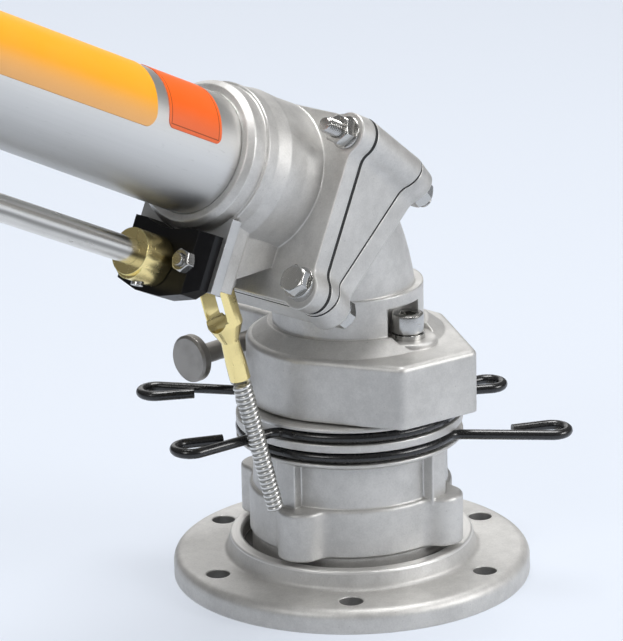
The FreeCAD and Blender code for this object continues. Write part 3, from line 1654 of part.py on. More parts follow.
nodes = {
    "base_flange": base_flange,
    "foot_seal": foot_seal,
    "foot_screws": foot_screws,
    "bearing_body": bearing_body,
    "brake_ring": brake_ring,
    "lower_bearing": lambda: bearing(lower_bearing_level),
    "upper_bearing": lambda: bearing(upper_bearing_level),
    "water_seal": water_seal,
    "dust_seal": dust_seal,
    "swivel_sleeve": swivel_sleeve,
    "sleeve_nut": sleeve_nut,
    "head_seal": head_seal,
    "arc_stop_upper": upper_stop,
    "arc_stop_lower": lower_stop,
    "turret_head": turret_head,
    "head_screws": head_screws,
    "head_screw_washers": head_screw_washers,
    "brake_plunger": brake_plunger,
    "brake_pad": brake_pad,
    "thumb_screw": thumb_screw,
    "lower_gasket": lower_gasket,
    "angle_wedge": angle_wedge,
    "upper_gasket": upper_gasket,
    "flange_studs": flange_studs,
    "flange_nuts": flange_nuts,
    "flange_washers": flange_washers,
    "through_bolts": through_bolts,
    "through_nuts": through_nuts,
    "through_washers": through_washers,
    "barrel_socket": barrel_socket,
    "barrel_seal": barrel_seal,
    "barrel_tube": barrel_tube,
    "stream_straightener": stream_straightener,
    "orange_label": orange_label,
    "yellow_label": yellow_label,
    "bracket_plate": bracket_plate,
    "rod_bearing_block": rod_bearing_block,
    "block_bolts": block_bolts,
    "block_nuts": block_nuts,
    "shift_rod": shift_rod,
    "shift_collar": shift_collar,
    "collar_screw": collar_screw,
    "clevis_pin": clevis_pin,
    "clevis": clevis,
    "trip_spring": trip_spring,
    "front_bracket": front_bracket,
    "front_bracket_screws": front_bracket_screws,
    "rod_bush": rod_bush,
    "nozzle_holder": nozzle_holder,
    "nozzle_seal": nozzle_seal,
    "nozzle": nozzle,
    "nozzle_ring": nozzle_ring,
    "arm_yoke": arm_yoke,
    "yoke_screw": yoke_screw,
    "arm_pin": arm_pin,
    "drive_arm": drive_arm,
    "drive_spoon": drive_spoon,
    "counterweight": counterweight,
    "counterweight_screw": counterweight_screw,
}

os.makedirs("parts", exist_ok=True)
for name, build in nodes.items():
    shape = build()
    print(name, "solids", len(shape.Solids), "valid", shape.isValid(), "volume %.0f" % shape.Volume)
    shape.exportStep("parts/" + name + ".step")
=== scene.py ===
import json
import math

import bmesh
import bpy
from bpy.props import FloatProperty, FloatVectorProperty, IntProperty, PointerProperty
from mathutils import Matrix, Vector


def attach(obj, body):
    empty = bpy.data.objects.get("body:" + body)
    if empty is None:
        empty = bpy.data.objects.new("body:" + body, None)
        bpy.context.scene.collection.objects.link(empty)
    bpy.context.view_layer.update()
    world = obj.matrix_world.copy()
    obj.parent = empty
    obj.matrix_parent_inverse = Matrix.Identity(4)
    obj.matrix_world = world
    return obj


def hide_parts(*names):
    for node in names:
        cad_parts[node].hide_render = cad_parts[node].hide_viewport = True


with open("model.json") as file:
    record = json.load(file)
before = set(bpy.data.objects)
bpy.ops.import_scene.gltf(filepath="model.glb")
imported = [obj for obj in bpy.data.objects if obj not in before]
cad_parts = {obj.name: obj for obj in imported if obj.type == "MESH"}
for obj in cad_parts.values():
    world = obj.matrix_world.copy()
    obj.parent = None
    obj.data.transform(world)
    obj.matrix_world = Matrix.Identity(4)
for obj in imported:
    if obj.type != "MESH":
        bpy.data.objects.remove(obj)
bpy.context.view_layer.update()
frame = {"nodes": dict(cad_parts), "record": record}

bl_info = {
    "name": "Rain gun dressing",
    "version": (1, 0, 0),
    "blender": (4, 5, 0),
    "location": "3D View > Sidebar > Rain gun",
    "description": "Finishes, fasteners, trip spring and studio of a rain gun head",
    "category": "Object",
}

MM = 0.001

# Filled in by the finishes step and by main, for the steps that follow
materials = {}
tools = {}


# Places of the dressed pieces, in millimetres and degrees, from the part's own sizes

def tilted(degrees):
    """Turn about Y that lifts the X axis."""
    return Matrix.Rotation(math.radians(-degrees), 4, "Y")


def shifted(x, y, z):
    """Move by millimetres."""
    return Matrix.Translation(Vector((x, y, z)) * MM)


BARREL_LEVEL = 188.6
BARREL_START = 7.0
BARREL_TILT = 25.74
TUBE_RADIUS = 29.7
ROD_DROP = 53.3
ROD_TURN = 8.0
ROD_RADIUS = 6.3
CLEVIS_STATION = 69.0
TRIP_LEAN = 11.4
SPRING_DROP = 53.0
FLANGE_STATION = 46.5
FLANGE_DROP = 8.5
FLANGE_HALF_HEIGHT = 48.25
SEAT_TILT = 49.3
WEDGE_TOE = 2.0
BOLT_HALF_WIDTH = 44.5
BOLT_HALF_HEIGHT = 38.25
UPPER_OFFSET = 10.0
LOWER_OFFSET = 10.9
HEAD_SCREW_CIRCLE = 36.5
HEAD_SCREW_TURN = 97.3
HEAD_SCREW_SEAT = 131.5
BLOCK_FRONT = 109.0
BLOCK_BOLT_OFFSET = 19.5
BLOCK_BOLT_DROP = 50.7

barrel_line = shifted(0, 0, BARREL_LEVEL) @ tilted(BARREL_TILT) @ shifted(BARREL_START, 0, 0)
rod_line = barrel_line @ shifted(0, 0, -ROD_DROP) @ Matrix.Rotation(math.radians(ROD_TURN), 4, "X")
trip_line = (rod_line @ shifted(CLEVIS_STATION, 0, 0)
             @ Matrix.Rotation(math.radians(BARREL_TILT + TRIP_LEAN), 4, "Y"))
upper_face = barrel_line @ shifted(FLANGE_STATION, 0, -FLANGE_DROP)
hinge = (upper_face @ shifted(0, 0, -FLANGE_HALF_HEIGHT)).translation / MM
lower_face = shifted(*hinge) @ tilted(SEAT_TILT) @ shifted(-WEDGE_TOE, 0, FLANGE_HALF_HEIGHT)


def heading_of(matrix, sign=1):
    """Direction of a frame's X axis."""
    return (matrix.to_3x3() @ Vector((1, 0, 0))) * sign


# Sizes and colours that a user may change

class RainGunFinishes(bpy.types.PropertyGroup):
    casting: FloatVectorProperty(name="Casting", description="Colour of the cast aluminium",
                                 subtype="COLOR", default=(0.620, 0.612, 0.596), min=0, max=1)
    tube: FloatVectorProperty(name="Barrel tube", description="Colour of the drawn aluminium tube",
                              subtype="COLOR", default=(0.64, 0.635, 0.62), min=0, max=1)
    plate: FloatVectorProperty(name="Milled aluminium", description="Colour of the sawn and milled plates",
                               subtype="COLOR", default=(0.56, 0.56, 0.555), min=0, max=1)
    steel: FloatVectorProperty(name="Bright steel", description="Colour of screws, nuts, spring and rod",
                               subtype="COLOR", default=(0.52, 0.515, 0.50), min=0, max=1)
    rod: FloatVectorProperty(name="Shift rod", description="Colour of the ground shift rod",
                             subtype="COLOR", default=(0.74, 0.72, 0.68), min=0, max=1)
    brass: FloatVectorProperty(name="Brass", description="Colour of the collar and the clevis",
                               subtype="COLOR", default=(0.93, 0.77, 0.36), min=0, max=1)
    knob: FloatVectorProperty(name="Thumb screw", description="Colour of the dull plated thumb screw",
                              subtype="COLOR", default=(0.31, 0.295, 0.275), min=0, max=1)
    wire: FloatVectorProperty(name="Stop wire", description="Colour of the coated stop wires",
                              subtype="COLOR", default=(0.006, 0.006, 0.007), min=0, max=1)
    block: FloatVectorProperty(name="Bearing block", description="Colour of the black bearing block",
                               subtype="COLOR", default=(0.004, 0.004, 0.005), min=0, max=1)
    gasket: FloatVectorProperty(name="Gaskets", description="Colour of the gaskets and seals",
                                subtype="COLOR", default=(0.018, 0.018, 0.018), min=0, max=1)
    moulding: FloatVectorProperty(name="Grey moulding", description="Colour of the vanes and the spoon",
                                  subtype="COLOR", default=(0.26, 0.27, 0.29), min=0, max=1)
    weight: FloatVectorProperty(name="Counterweight", description="Colour of the coated iron weight",
                                subtype="COLOR", default=(0.13, 0.135, 0.14), min=0, max=1)
    orange: FloatVectorProperty(name="Orange label", description="Ground colour of the short label",
                                subtype="COLOR", default=(0.86, 0.13, 0.012), min=0, max=1)
    yellow: FloatVectorProperty(name="Yellow label", description="Ground colour of the long label",
                                subtype="COLOR", default=(0.92, 0.40, 0.02), min=0, max=1)
    grain: FloatProperty(name="Casting grain", description="Size of the blasted grain on the castings",
                         unit="LENGTH", default=0.0009, min=0.0002, max=0.01)
    edge: FloatProperty(name="Edge rounding", description="Radius of the castings' broken edges",
                        unit="LENGTH", default=0.0014, min=0.0, max=0.005)


class RainGunSpring(bpy.types.PropertyGroup):
    wire_radius: FloatProperty(name="Wire radius", description="Radius of the spring wire",
                               unit="LENGTH", default=1.15 * MM, min=0.0002, max=0.005)
    top_radius: FloatProperty(name="Top radius", description="Radius of the line in the top turn",
                              unit="LENGTH", default=3.65 * MM, min=0.001, max=0.02)
    bottom_radius: FloatProperty(name="Bottom radius", description="Radius of the line in the last turn",
                                 unit="LENGTH", default=3.0 * MM, min=0.001, max=0.02)
    pitch: FloatProperty(name="Pitch", description="Rise of the spring in one turn",
                         unit="LENGTH", default=2.42 * MM, min=0.0005, max=0.02)
    turns: IntProperty(name="Turns", description="Number of turns", default=28, min=1, max=80)


class RainGunFasteners(bpy.types.PropertyGroup):
    flats: FloatProperty(name="Nut width", description="Width across the flats of the flange nuts",
                         unit="LENGTH", default=13 * MM, min=0.004, max=0.05)
    nut_height: FloatProperty(name="Nut height", description="Height of the flange nuts",
                              unit="LENGTH", default=6.5 * MM, min=0.002, max=0.03)
    stud_radius: FloatProperty(name="Stud radius", description="Outer radius of the stud's thread",
                               unit="LENGTH", default=3.97 * MM, min=0.001, max=0.02)
    thread_pitch: FloatProperty(name="Thread pitch", description="Rise of the stud's thread in one turn",
                                unit="LENGTH", default=1.25 * MM, min=0.0003, max=0.004)
    stud_tip: FloatProperty(name="Stud tip", description="Length of the upper studs past their nuts",
                            unit="LENGTH", default=9 * MM, min=0.0, max=0.03)
    washer_radius: FloatProperty(name="Washer radius", description="Outer radius of the flat washers",
                                 unit="LENGTH", default=8 * MM, min=0.003, max=0.03)
    washer_thickness: FloatProperty(name="Washer thickness", description="Thickness of the flat washers",
                                    unit="LENGTH", default=1.6 * MM, min=0.0003, max=0.005)


class RainGunStage(bpy.types.PropertyGroup):
    backdrop: FloatVectorProperty(name="Backdrop", description="Colour of the floor and what lies behind",
                                  subtype="COLOR", default=(0.765, 0.815, 0.90), min=0, max=1)
    floor_size: FloatProperty(name="Floor size", description="Side of the square floor",
                              unit="LENGTH", default=30.0, min=1.0, max=100.0)
    lens: FloatProperty(name="Lens", description="Focal length of the camera, in millimetres",
                        default=201.38, min=10.0, max=400.0)
    world_strength: FloatProperty(name="Room light", description="Strength of the room's even light",
                                  default=0.24, min=0.0, max=5.0)


# Shader helpers

def forward(operation):
    """Operator that adds a Math node, with the shader value first."""
    return lambda self, *others: self.graph.maths(operation, self, *others)


def backward(operation):
    """Operator that adds a Math node, with the shader value last."""
    return lambda self, other: self.graph.maths(operation, other, self)


class Term:
    """A shader value that takes part in sums, products and comparisons."""

    def __init__(self, graph, socket):
        self.graph = graph
        self.socket = socket

    __add__, __radd__ = forward("ADD"), backward("ADD")
    __sub__, __rsub__ = forward("SUBTRACT"), backward("SUBTRACT")
    __mul__, __rmul__ = forward("MULTIPLY"), backward("MULTIPLY")
    __gt__, __lt__ = forward("GREATER_THAN"), forward("LESS_THAN")
    __abs__ = forward("ABSOLUTE")


class Graph:
    """Node tree under construction, of a material or of the world."""

    def __init__(self, owner):
        owner.use_nodes = True
        self.tree = owner.node_tree
        self.tree.nodes.clear()

    def node(self, kind, settings=None, values=None, out=0):
        """Add a node: its settings first, then the values or links of its sockets."""
        made = self.tree.nodes.new(kind)
        for key, value in (settings or {}).items():
            if key == "stops":
                self.fill_ramp(made.color_ramp, value)
            else:
                setattr(made, key, value)
        for key, value in (values or {}).items():
            socket = made.inputs[key]
            if isinstance(value, Term):
                self.tree.links.new(value.socket, socket)
            elif socket.type == "RGBA" and len(value) == 3:
                socket.default_value = (*value, 1.0)
            else:
                socket.default_value = value
        return Term(self, made.outputs[out]) if len(made.outputs) else made

    @staticmethod
    def fill_ramp(ramp, stops):
        """Set the stops of a colour ramp."""
        while len(ramp.elements) < len(stops):
            ramp.elements.new(0.5)
        for element, (place, shade) in zip(ramp.elements, stops):
            element.position = place
            element.color = (shade, shade, shade, 1.0)

    def maths(self, operation, *values):
        """Add one Math node."""
        return self.node("ShaderNodeMath", {"operation": operation}, dict(enumerate(values)))

    def blend(self, share, first, second):
        """Mix two colours."""
        return self.node("ShaderNodeMix", {"data_type": "RGBA"}, {0: share, 6: first, 7: second}, out=2)

    def step(self, value, low, high, start=0.0, end=1.0):
        """Rise smoothly from start to end while a value goes from low to high."""
        return self.node("ShaderNodeMapRange", {"interpolation_type": "SMOOTHSTEP"}, {
            "Value": value, "From Min": low, "From Max": high, "To Min": start, "To Max": end})

    def place(self):
        """Point on the gun, in metres."""
        return self.node("ShaderNodeTexCoord", out="Object")

    def turned_place(self, matrix, stretch=(1.0, 1.0, 1.0)):
        """Point in another frame of the gun, stretched along its axes."""
        back = matrix.inverted()
        turned = self.node("ShaderNodeMapping", {"vector_type": "POINT"}, {
            "Vector": self.place(), "Location": back.translation, "Rotation": back.to_euler("XYZ")})
        return self.node("ShaderNodeVectorMath", {"operation": "MULTIPLY"}, {0: turned, 1: stretch})

    def parts(self, vector):
        """X, Y and Z of a vector."""
        made = self.node("ShaderNodeSeparateXYZ", values={0: vector})
        return [Term(self, made.socket.node.outputs[k]) for k in range(3)]

    def noise(self, vector, size, detail=2.0, roughness=0.5, distortion=0.0):
        """Noise whose features have a size in metres."""
        return self.node("ShaderNodeTexNoise", values={
            "Vector": vector, "Scale": 1.0 / size, "Detail": detail, "Roughness": roughness,
            "Distortion": distortion})

    def cells(self, vector, size):
        """Distance to scattered points whose spacing has a size in metres."""
        return self.node("ShaderNodeTexVoronoi", {"feature": "F1"},
                         {"Vector": vector, "Scale": 1.0 / size, "Randomness": 1.0}, out="Distance")

    def broken_edge(self, radius):
        """Normal with rounded edges, and how near an edge is."""
        soft = self.node("ShaderNodeBevel", {"samples": 6}, {"Radius": radius})
        hard = self.node("ShaderNodeNewGeometry", out="Normal")
        match = self.node("ShaderNodeVectorMath", {"operation": "DOT_PRODUCT"}, {0: soft, 1: hard},
                          out="Value")
        return soft, self.step(1.0 - match, 0.002, 0.12)

    def bump(self, height, distance, strength, normal=None):
        """Normal from a height."""
        values = {"Height": height, "Distance": distance, "Strength": strength}
        if normal is not None:
            values["Normal"] = normal
        return self.node("ShaderNodeBump", values=values)

    def surface(self, **values):
        """Close the tree with the surface shader."""
        values = {key.replace("_", " ").title().replace("Ior", "IOR"): value
                  for key, value in values.items()}
        shader = self.node("ShaderNodeBsdfPrincipled", values=values)
        self.node("ShaderNodeOutputMaterial", values={"Surface": shader})


def finish(name):
    """New material and its graph."""
    material = bpy.data.materials.new(name)
    return material, Graph(material)


def scaled(colour, factor, added=0.0):
    """Colour made lighter or darker."""
    return tuple(min(1.0, part * factor + added) for part in colour)


# Finishes

def cast_finish(name, colour, grain, edge, machined=(), sunk=(), roughness=0.44):
    """Blasted cast aluminium.

    machined holds the lowest and highest Z and the turning pitch of bright turned bands. sunk gives the
    radius and top of a recess and the circle and turn of six bolt holes, which are darkened as painted
    shade.
    """
    material, g = finish(name)
    place = g.place()
    soft, worn = g.broken_edge(edge)
    cloud = g.noise(place, 0.035, 3.0, 0.55)
    mottle = g.noise(place, 0.006, 4.0, 0.62)
    blast = g.noise(place, grain, 3.0, 0.6)
    pits = g.step(g.cells(place, 0.0042), 0.03, 0.11)
    pits = g.maths("MAXIMUM", pits, g.step(g.noise(place, 0.012, 1.0), 0.40, 0.52, 1.0, 0.0))
    tone = g.step(cloud * 0.45 + mottle * 0.30 + blast * 0.25, 0.32, 0.68)
    shade = g.blend(tone, scaled(colour, 0.84), scaled(colour, 1.12))
    # Broken edges are made lighter: partly edge wear, partly a painted highlight where the rounded edges
    # catch the light.
    shade = g.blend(worn * 0.60, shade, scaled(colour, 1.50))
    shade = g.blend((1.0 - pits) * 0.40, shade, scaled(colour, 0.50))
    rough = roughness + 0.10 * mottle - 0.12 * worn
    height = blast * 0.55 + mottle * 0.45 + pits * 0.6
    normal = g.bump(height, 0.00022, 0.55, soft)
    if machined or sunk:
        x, y, z = g.parts(place)
        reach = g.maths("SQRT", x * x + y * y)
    for low, high, pitch in machined:
        band = (z > low) * (z < high)
        rings = g.noise(g.node("ShaderNodeCombineXYZ", values={0: reach, 1: z}), pitch, 1.0, 0.5)
        shade = g.blend(band * 0.75, shade, g.blend(rings, scaled(colour, 1.25), scaled(colour, 1.45)))
        rough = rough - band * 0.14
    if sunk:
        hollow_radius, hollow_top, bolt_circle, first_bolt = sunk
        # Painted shade: the recess inside the collar and the six bolt holes are darkened nearly to black.
        underside, bore_top, bore_radius, half_step = 0.0005, 0.0115, 0.0061, math.radians(30)
        painted_recess_shade = (reach < hollow_radius) * (z < hollow_top) * (z > underside)
        turn = g.maths("WRAP", g.maths("ARCTAN2", y, x) - math.radians(first_bolt), half_step, -half_step)
        away = reach * g.maths("COSINE", turn) - bolt_circle
        aside = reach * g.maths("SINE", turn)
        apart = g.maths("SQRT", away * away + aside * aside)
        painted_bore_shade = g.step(apart, bore_radius, bore_radius + 0.0003, 1.0, 0.0) * (z < bore_top)
        shade = g.blend(g.maths("MAXIMUM", painted_recess_shade * 0.85, painted_bore_shade * 0.6), shade, scaled(colour, 0.16))
    g.surface(base_color=shade, metallic=0.72, roughness=rough, normal=normal)
    return material


def drawn_finish(name, colour, frame_matrix, radius, painted_band, roughness=0.34, streak=0.5):
    """Drawn round bar or tube: lines along a frame's X axis, handling marks and a painted shade band on
    its side.

    painted_band gives, in radii above the axis, where the painted shade band is darkest and where it ends
    above and below that, and then its strength.
    """
    material, g = finish(name)
    along = g.turned_place(frame_matrix, (0.012, 1.0, 1.0))
    lines = g.noise(along, 0.0011, 3.0, 0.6)
    place = g.place()
    haze = g.noise(place, 0.045, 3.0, 0.5)
    handled = g.turned_place(frame_matrix, (0.25, 1.0, 1.0))
    marks = g.step(g.noise(handled, 0.0022, 2.0, 0.5, 0.6), 0.66, 0.74)
    specks = g.step(g.cells(place, 0.021), 0.012, 0.03, 1.0, 0.0)
    soft, _ = g.broken_edge(0.0006)
    shade = g.blend(lines * streak, scaled(colour, 1.05), scaled(colour, 0.88))
    shade = g.blend(g.step(haze, 0.35, 0.7) * 0.30, shade, scaled(colour, 0.90))
    _, _, up = g.parts(g.turned_place(frame_matrix))
    height = up * (1 / radius) + (haze - 0.5) * 0.2
    darkest, above, below, strength = painted_band
    # Painted shade: a band round the side is darkened towards a quarter of the colour; on the tube it is
    # shade on the underside, on the rod a painted dark reflection line.
    film = g.step(height, darkest, above, 1.0, 0.0) * g.step(height, below, darkest)
    shade = g.blend(film * strength, shade, scaled(colour, 0.25))
    shade = g.blend(marks * 0.22, shade, scaled(colour, 0.70))
    shade = g.blend(specks * 0.40, shade, scaled(colour, 0.55))
    rough = roughness + 0.10 * haze + 0.06 * lines + 0.08 * marks
    normal = g.bump(lines * 0.5 + marks * -0.3, 0.00006, 0.5, soft)
    g.surface(base_color=shade, metallic=1.0, roughness=rough, normal=normal)
    return material


def turned_finish(name, colour, frame_matrix, roughness=0.20, pitch=0.0005, tarnish=0.25):
    """Lathe-turned metal with fine rings across a frame's X axis and light tarnish."""
    material, g = finish(name)
    across = g.turned_place(frame_matrix, (1.0, 0.03, 0.03))
    rings = g.noise(across, pitch, 2.0, 0.6)
    place = g.place()
    stain = g.step(g.noise(place, 0.011, 3.0, 0.5), 0.45, 0.80)
    rubbed = g.turned_place(frame_matrix, (0.2, 1.0, 0.6))
    scratch = g.step(g.noise(rubbed, 0.0012, 1.0, 0.5, 0.8), 0.68, 0.76)
    soft, worn = g.broken_edge(0.0005)
    shade = g.blend(rings * 0.25, scaled(colour, 1.05), scaled(colour, 0.86))
    shade = g.blend(stain * tarnish, shade, scaled(colour, 0.62))
    shade = g.blend(worn * 0.5, shade, scaled(colour, 1.35))
    rough = roughness + 0.10 * stain + 0.06 * rings + 0.10 * scratch - 0.05 * worn
    normal = g.bump(rings * 0.5 - scratch * 0.4, 0.00002, 0.5, soft)
    g.surface(base_color=shade, metallic=1.0, roughness=rough, normal=normal)
    return material


def milled_finish(name, colour):
    """Sawn and milled aluminium plate with short tool marks."""
    material, g = finish(name)
    place = g.turned_place(barrel_line, (1.0, 0.10, 1.0))
    marks = g.noise(place, 0.0008, 3.0, 0.6)
    cloud = g.noise(g.place(), 0.010, 3.0, 0.55)
    soft, worn = g.broken_edge(0.0005)
    shade = g.blend(marks * 0.5, scaled(colour, 1.08), scaled(colour, 0.82))
    shade = g.blend(g.step(cloud, 0.4, 0.7) * 0.25, shade, scaled(colour, 0.80))
    shade = g.blend(worn * 0.5, shade, scaled(colour, 1.35))
    rough = 0.34 + 0.14 * marks + 0.06 * cloud
    g.surface(base_color=shade, metallic=1.0, roughness=rough, normal=g.bump(marks, 0.00010, 0.5, soft))
    return material


def coated_finish(name, colour, roughness=0.30, texture=0.0016, coat=0.35, wear=0.25, sheen=0.5):
    """Paint or coating over metal, with orange peel and rubbed edges."""
    material, g = finish(name)
    place = g.place()
    soft, worn = g.broken_edge(0.0004)
    peel = g.noise(place, texture, 2.0, 0.5)
    dust = g.step(g.noise(place, 0.004, 4.0, 0.65), 0.50, 0.75)
    shade = g.blend(dust * 0.30, colour, scaled(colour, 1.4, 0.006))
    shade = g.blend(worn * wear, shade, scaled(colour, 2.0, 0.02))
    rough = roughness + 0.10 * dust + 0.05 * peel
    g.surface(base_color=shade, metallic=0.0, roughness=rough, specular_ior_level=sheen, coat_weight=coat,
              coat_roughness=0.18, normal=g.bump(peel, 0.00008, 0.4, soft))
    return material


def moulded_finish(name, colour, roughness=0.45):
    """Moulded plastic or rubber with a fine spark texture."""
    material, g = finish(name)
    place = g.place()
    soft, worn = g.broken_edge(0.0004)
    spark = g.noise(place, 0.0006, 2.0, 0.6)
    flow = g.noise(place, 0.018, 2.0, 0.5, 0.5)
    shade = g.blend(g.step(flow, 0.35, 0.7) * 0.5, colour, scaled(colour, 1.25))
    shade = g.blend(worn * 0.4, shade, scaled(colour, 1.6, 0.02))
    rough = roughness + 0.12 * spark + 0.05 * flow
    g.surface(base_color=shade, metallic=0.0, roughness=rough, normal=g.bump(spark, 0.00006, 0.5, soft))
    return material


def film_finish(name, colour, start, end, low, high, border, painted_highlight=0.0):
    """Printed film on the tube, from start to end along it and from low to high degrees round it.

    It has a painted highlight that pales it towards its lower edge, as strong as painted_highlight, and a
    thin frame line that far in where border is above 0.
    """
    material, g = finish(name)
    along, side, up = g.parts(g.turned_place(barrel_line))
    angle = g.maths("ARCTAN2", side, up)
    place = g.place()
    screen = g.noise(place, 0.0011, 1.0, 0.5)
    fade = g.step(g.noise(place, 0.02, 3.0, 0.5), 0.3, 0.7)
    shade = g.blend(fade * 0.12, colour, scaled(colour, 0.9, 0.06))
    # Painted highlight: the film pales towards its lower edge, where it catches the light.
    rubbed = g.step(angle, math.radians(low + 0.66 * (high - low)), math.radians(high))
    shade = g.blend(rubbed * painted_highlight, shade, scaled(colour, 0.45, 0.50))
    shade = g.blend(screen * 0.08, shade, scaled(colour, 0.75))
    if border > 0:
        middle = math.radians((low + high) / 2)
        half_turn = math.radians((high - low) / 2) * TUBE_RADIUS * MM
        inset_along = (end - start) * MM / 2 - abs(along - (start + end) * MM / 2)
        inset_round = half_turn - abs(angle - middle) * (TUBE_RADIUS * MM)
        inset = g.maths("MINIMUM", inset_along, inset_round)
        line = g.step(abs(inset - border), 0.00012, 0.00030, 1.0, 0.0)
        shade = g.blend(line * 0.75, shade, scaled(colour, 0.12))
    rough = 0.38 + 0.08 * fade + 0.04 * screen
    g.surface(base_color=shade, metallic=0.0, roughness=rough, specular_ior_level=0.3,
              normal=g.bump(screen, 0.00002, 0.4))
    return material


# Mesh helpers

SHARP_ANGLE = math.radians(32)


def new_piece(name, mesh, material=None):
    """Object at the origin that shows a mesh."""
    piece = bpy.data.objects.new(name, mesh)
    bpy.context.scene.collection.objects.link(piece)
    if material is not None:
        mesh.materials.clear()
        mesh.materials.append(material)
    return piece


def hex_reach(angle, half_flats):
    """Distance from the middle of a hexagon to its edge, at an angle."""
    step = math.radians(60)
    return half_flats / math.cos(angle % step - step / 2)


def turned_mesh(name, rows, around=48, cone=None, thread=None):
    """Closed lathe mesh about Z from rows of (height, radius, kind), with kind round, hex or thread.

    cone(height) caps the reach of hex rows, and thread(height, angle) is added to thread rows.
    """
    mesh = bpy.data.meshes.new(name)
    build = bmesh.new()
    rings = []
    for height, radius, kind in rows:
        ring = []
        for k in range(around):
            angle = 2 * math.pi * k / around
            reach = radius
            if kind == "hex":
                reach = hex_reach(angle, radius)
                if cone is not None:
                    reach = min(reach, cone(height))
            elif kind == "thread":
                reach += thread(height, angle)
            ring.append(build.verts.new((reach * math.cos(angle), reach * math.sin(angle), height)))
        rings.append(ring)
    following = rings[1:] if rows[0][1] == 0 else rings[1:] + rings[:1]
    for low, high in zip(rings, following):
        for k in range(around):
            build.faces.new((low[k], low[(k + 1) % around], high[(k + 1) % around], high[k]))
    bmesh.ops.remove_doubles(build, verts=build.verts, dist=1e-6)
    bmesh.ops.dissolve_degenerate(build, edges=build.edges, dist=1e-7)
    bmesh.ops.recalc_face_normals(build, faces=build.faces)
    build.to_mesh(mesh)
    build.free()
    mesh.shade_smooth()
    mesh.set_sharp_from_angle(angle=SHARP_ANGLE)
    return mesh


def nut_mesh(name, flats, height, bore):
    """Hexagon nut with turned corners and a countersunk bore."""
    half = flats / 2
    start = half * 0.955
    steep = math.tan(math.radians(58))

    def cone(level):
        return start + steep * min(level, height - level)

    corner = half / math.cos(math.radians(30))
    reach = (corner - start) / steep
    levels = [reach * k / 5 for k in range(6)]
    levels += [height - level for level in levels[::-1]]
    rows = [(0.0, bore * 1.10, "round"), (0.0, start * 0.96, "round")]
    rows += [(level, half, "hex") for level in levels]
    rows += [(height, start * 0.96, "round"), (height, bore * 1.10, "round"),
             (height - 0.12 * height, bore, "round"), (0.12 * height, bore, "round")]
    return turned_mesh(name, rows, 60, cone)


def stud_mesh(name, radius, length, pitch):
    """Threaded rod up Z with a chamfered end."""
    depth = 0.58 * pitch

    def thread(level, angle):
        turn = (level / pitch - angle / (2 * math.pi)) % 1.0
        return -depth * (0.5 + 0.5 * math.cos(2 * math.pi * turn)) ** 1.3

    steps = int(length / (pitch / 8))
    rows = [(0.0, 0.0, "round"), (0.0, radius - depth, "round")]
    for k in range(1, steps):
        level = length * k / steps
        if level > length - 0.9 * pitch:
            break
        rows.append((level, radius, "thread"))
    rows += [(length - 0.8 * pitch, radius - 0.35 * depth, "round"),
             (length - 0.15 * pitch, radius - depth, "round"),
             (length, radius - 1.35 * depth, "round"), (length, 0.0, "round")]
    return turned_mesh(name, rows, 36, None, thread)


def washer_mesh(name, outer, bore, thickness):
    """Punched flat washer with a rolled edge."""
    lip = 0.22 * thickness
    rows = [(0.0, bore, "round"), (0.0, outer - lip, "round"), (lip, outer, "round"),
            (thickness - lip, outer, "round"), (thickness, outer - lip, "round"),
            (thickness, bore + lip, "round"), (thickness - lip, bore, "round")]
    return turned_mesh(name, rows, 48)


def cap_screw_mesh(name, radius, height, key, shank, length):
    """Socket head screw with its seat at Z = 0, head up."""
    rim = 0.09 * radius
    rows = [(-length, 0.0, "round"), (-length, shank, "round"), (0.0, shank, "round"),
            (0.0, radius - rim, "round"), (rim, radius, "round"), (height - 2 * rim, radius, "round"),
            (height - 0.6 * rim, radius - 0.4 * rim, "round"), (height, radius - 2 * rim, "round"),
            (height, key * 0.63, "round"), (height - 0.06 * height, key / 2, "hex"),
            (height * 0.5, key / 2, "hex"), (height * 0.5, key * 0.45, "round"),
            (height * 0.38, 0.0, "round")]
    return turned_mesh(name, rows, 60)


def hex_head_mesh(name, flats, height):
    """Hexagon screw head up Z with turned upper corners."""
    half = flats / 2
    start = half * 0.93
    steep = math.tan(math.radians(60))

    def cone(level):
        return start + steep * (height - level)

    corner = half / math.cos(math.radians(30))
    reach = (corner - start) / steep
    rows = [(0.0, 0.0, "round"), (0.0, half, "hex"), (height - reach * 1.05, half, "hex")]
    rows += [(height - reach * (5 - k) / 5, half, "hex") for k in range(1, 6)]
    dish = 0.0001
    rows += [(height, start * 0.96, "round"), (height - dish, start * 0.7, "round"),
             (height - dish, 0.0, "round")]
    return turned_mesh(name, rows, 60, cone)


# Geometry node trees

def new_tree(name, inputs):
    """Geometry tree with named inputs; returns the tree, its input node and its output node."""
    tree = bpy.data.node_groups.new(name, "GeometryNodeTree")
    tree.interface.new_socket("Geometry", in_out="OUTPUT", socket_type="NodeSocketGeometry")
    tree.interface.new_socket("Geometry", in_out="INPUT", socket_type="NodeSocketGeometry")
    for label, kind in inputs:
        tree.interface.new_socket(label, in_out="INPUT", socket_type=kind)
    return tree, tree.nodes.new("NodeGroupInput"), tree.nodes.new("NodeGroupOutput")


def joined(tree, kind, settings=None, **links):
    """Add a geometry node; links name its sockets, with spaces as underscores."""
    made = tree.nodes.new(kind)
    for key, value in (settings or {}).items():
        setattr(made, key, value)
    for key, value in links.items():
        socket = made.inputs[key.replace("_", " ")]
        if isinstance(value, bpy.types.NodeSocket):
            tree.links.new(value, socket)
        else:
            socket.default_value = value
    return made


def close_tree(tree, given, end, last):
    """Realize the last node's geometry, give it the material and lead it to the output."""
    solid = joined(tree, "GeometryNodeRealizeInstances", Geometry=last.outputs[0])
    coated = joined(tree, "GeometryNodeSetMaterial", Geometry=solid.outputs[0],
                    Material=given.outputs["Material"])
    tree.links.new(coated.outputs[0], end.inputs[0])


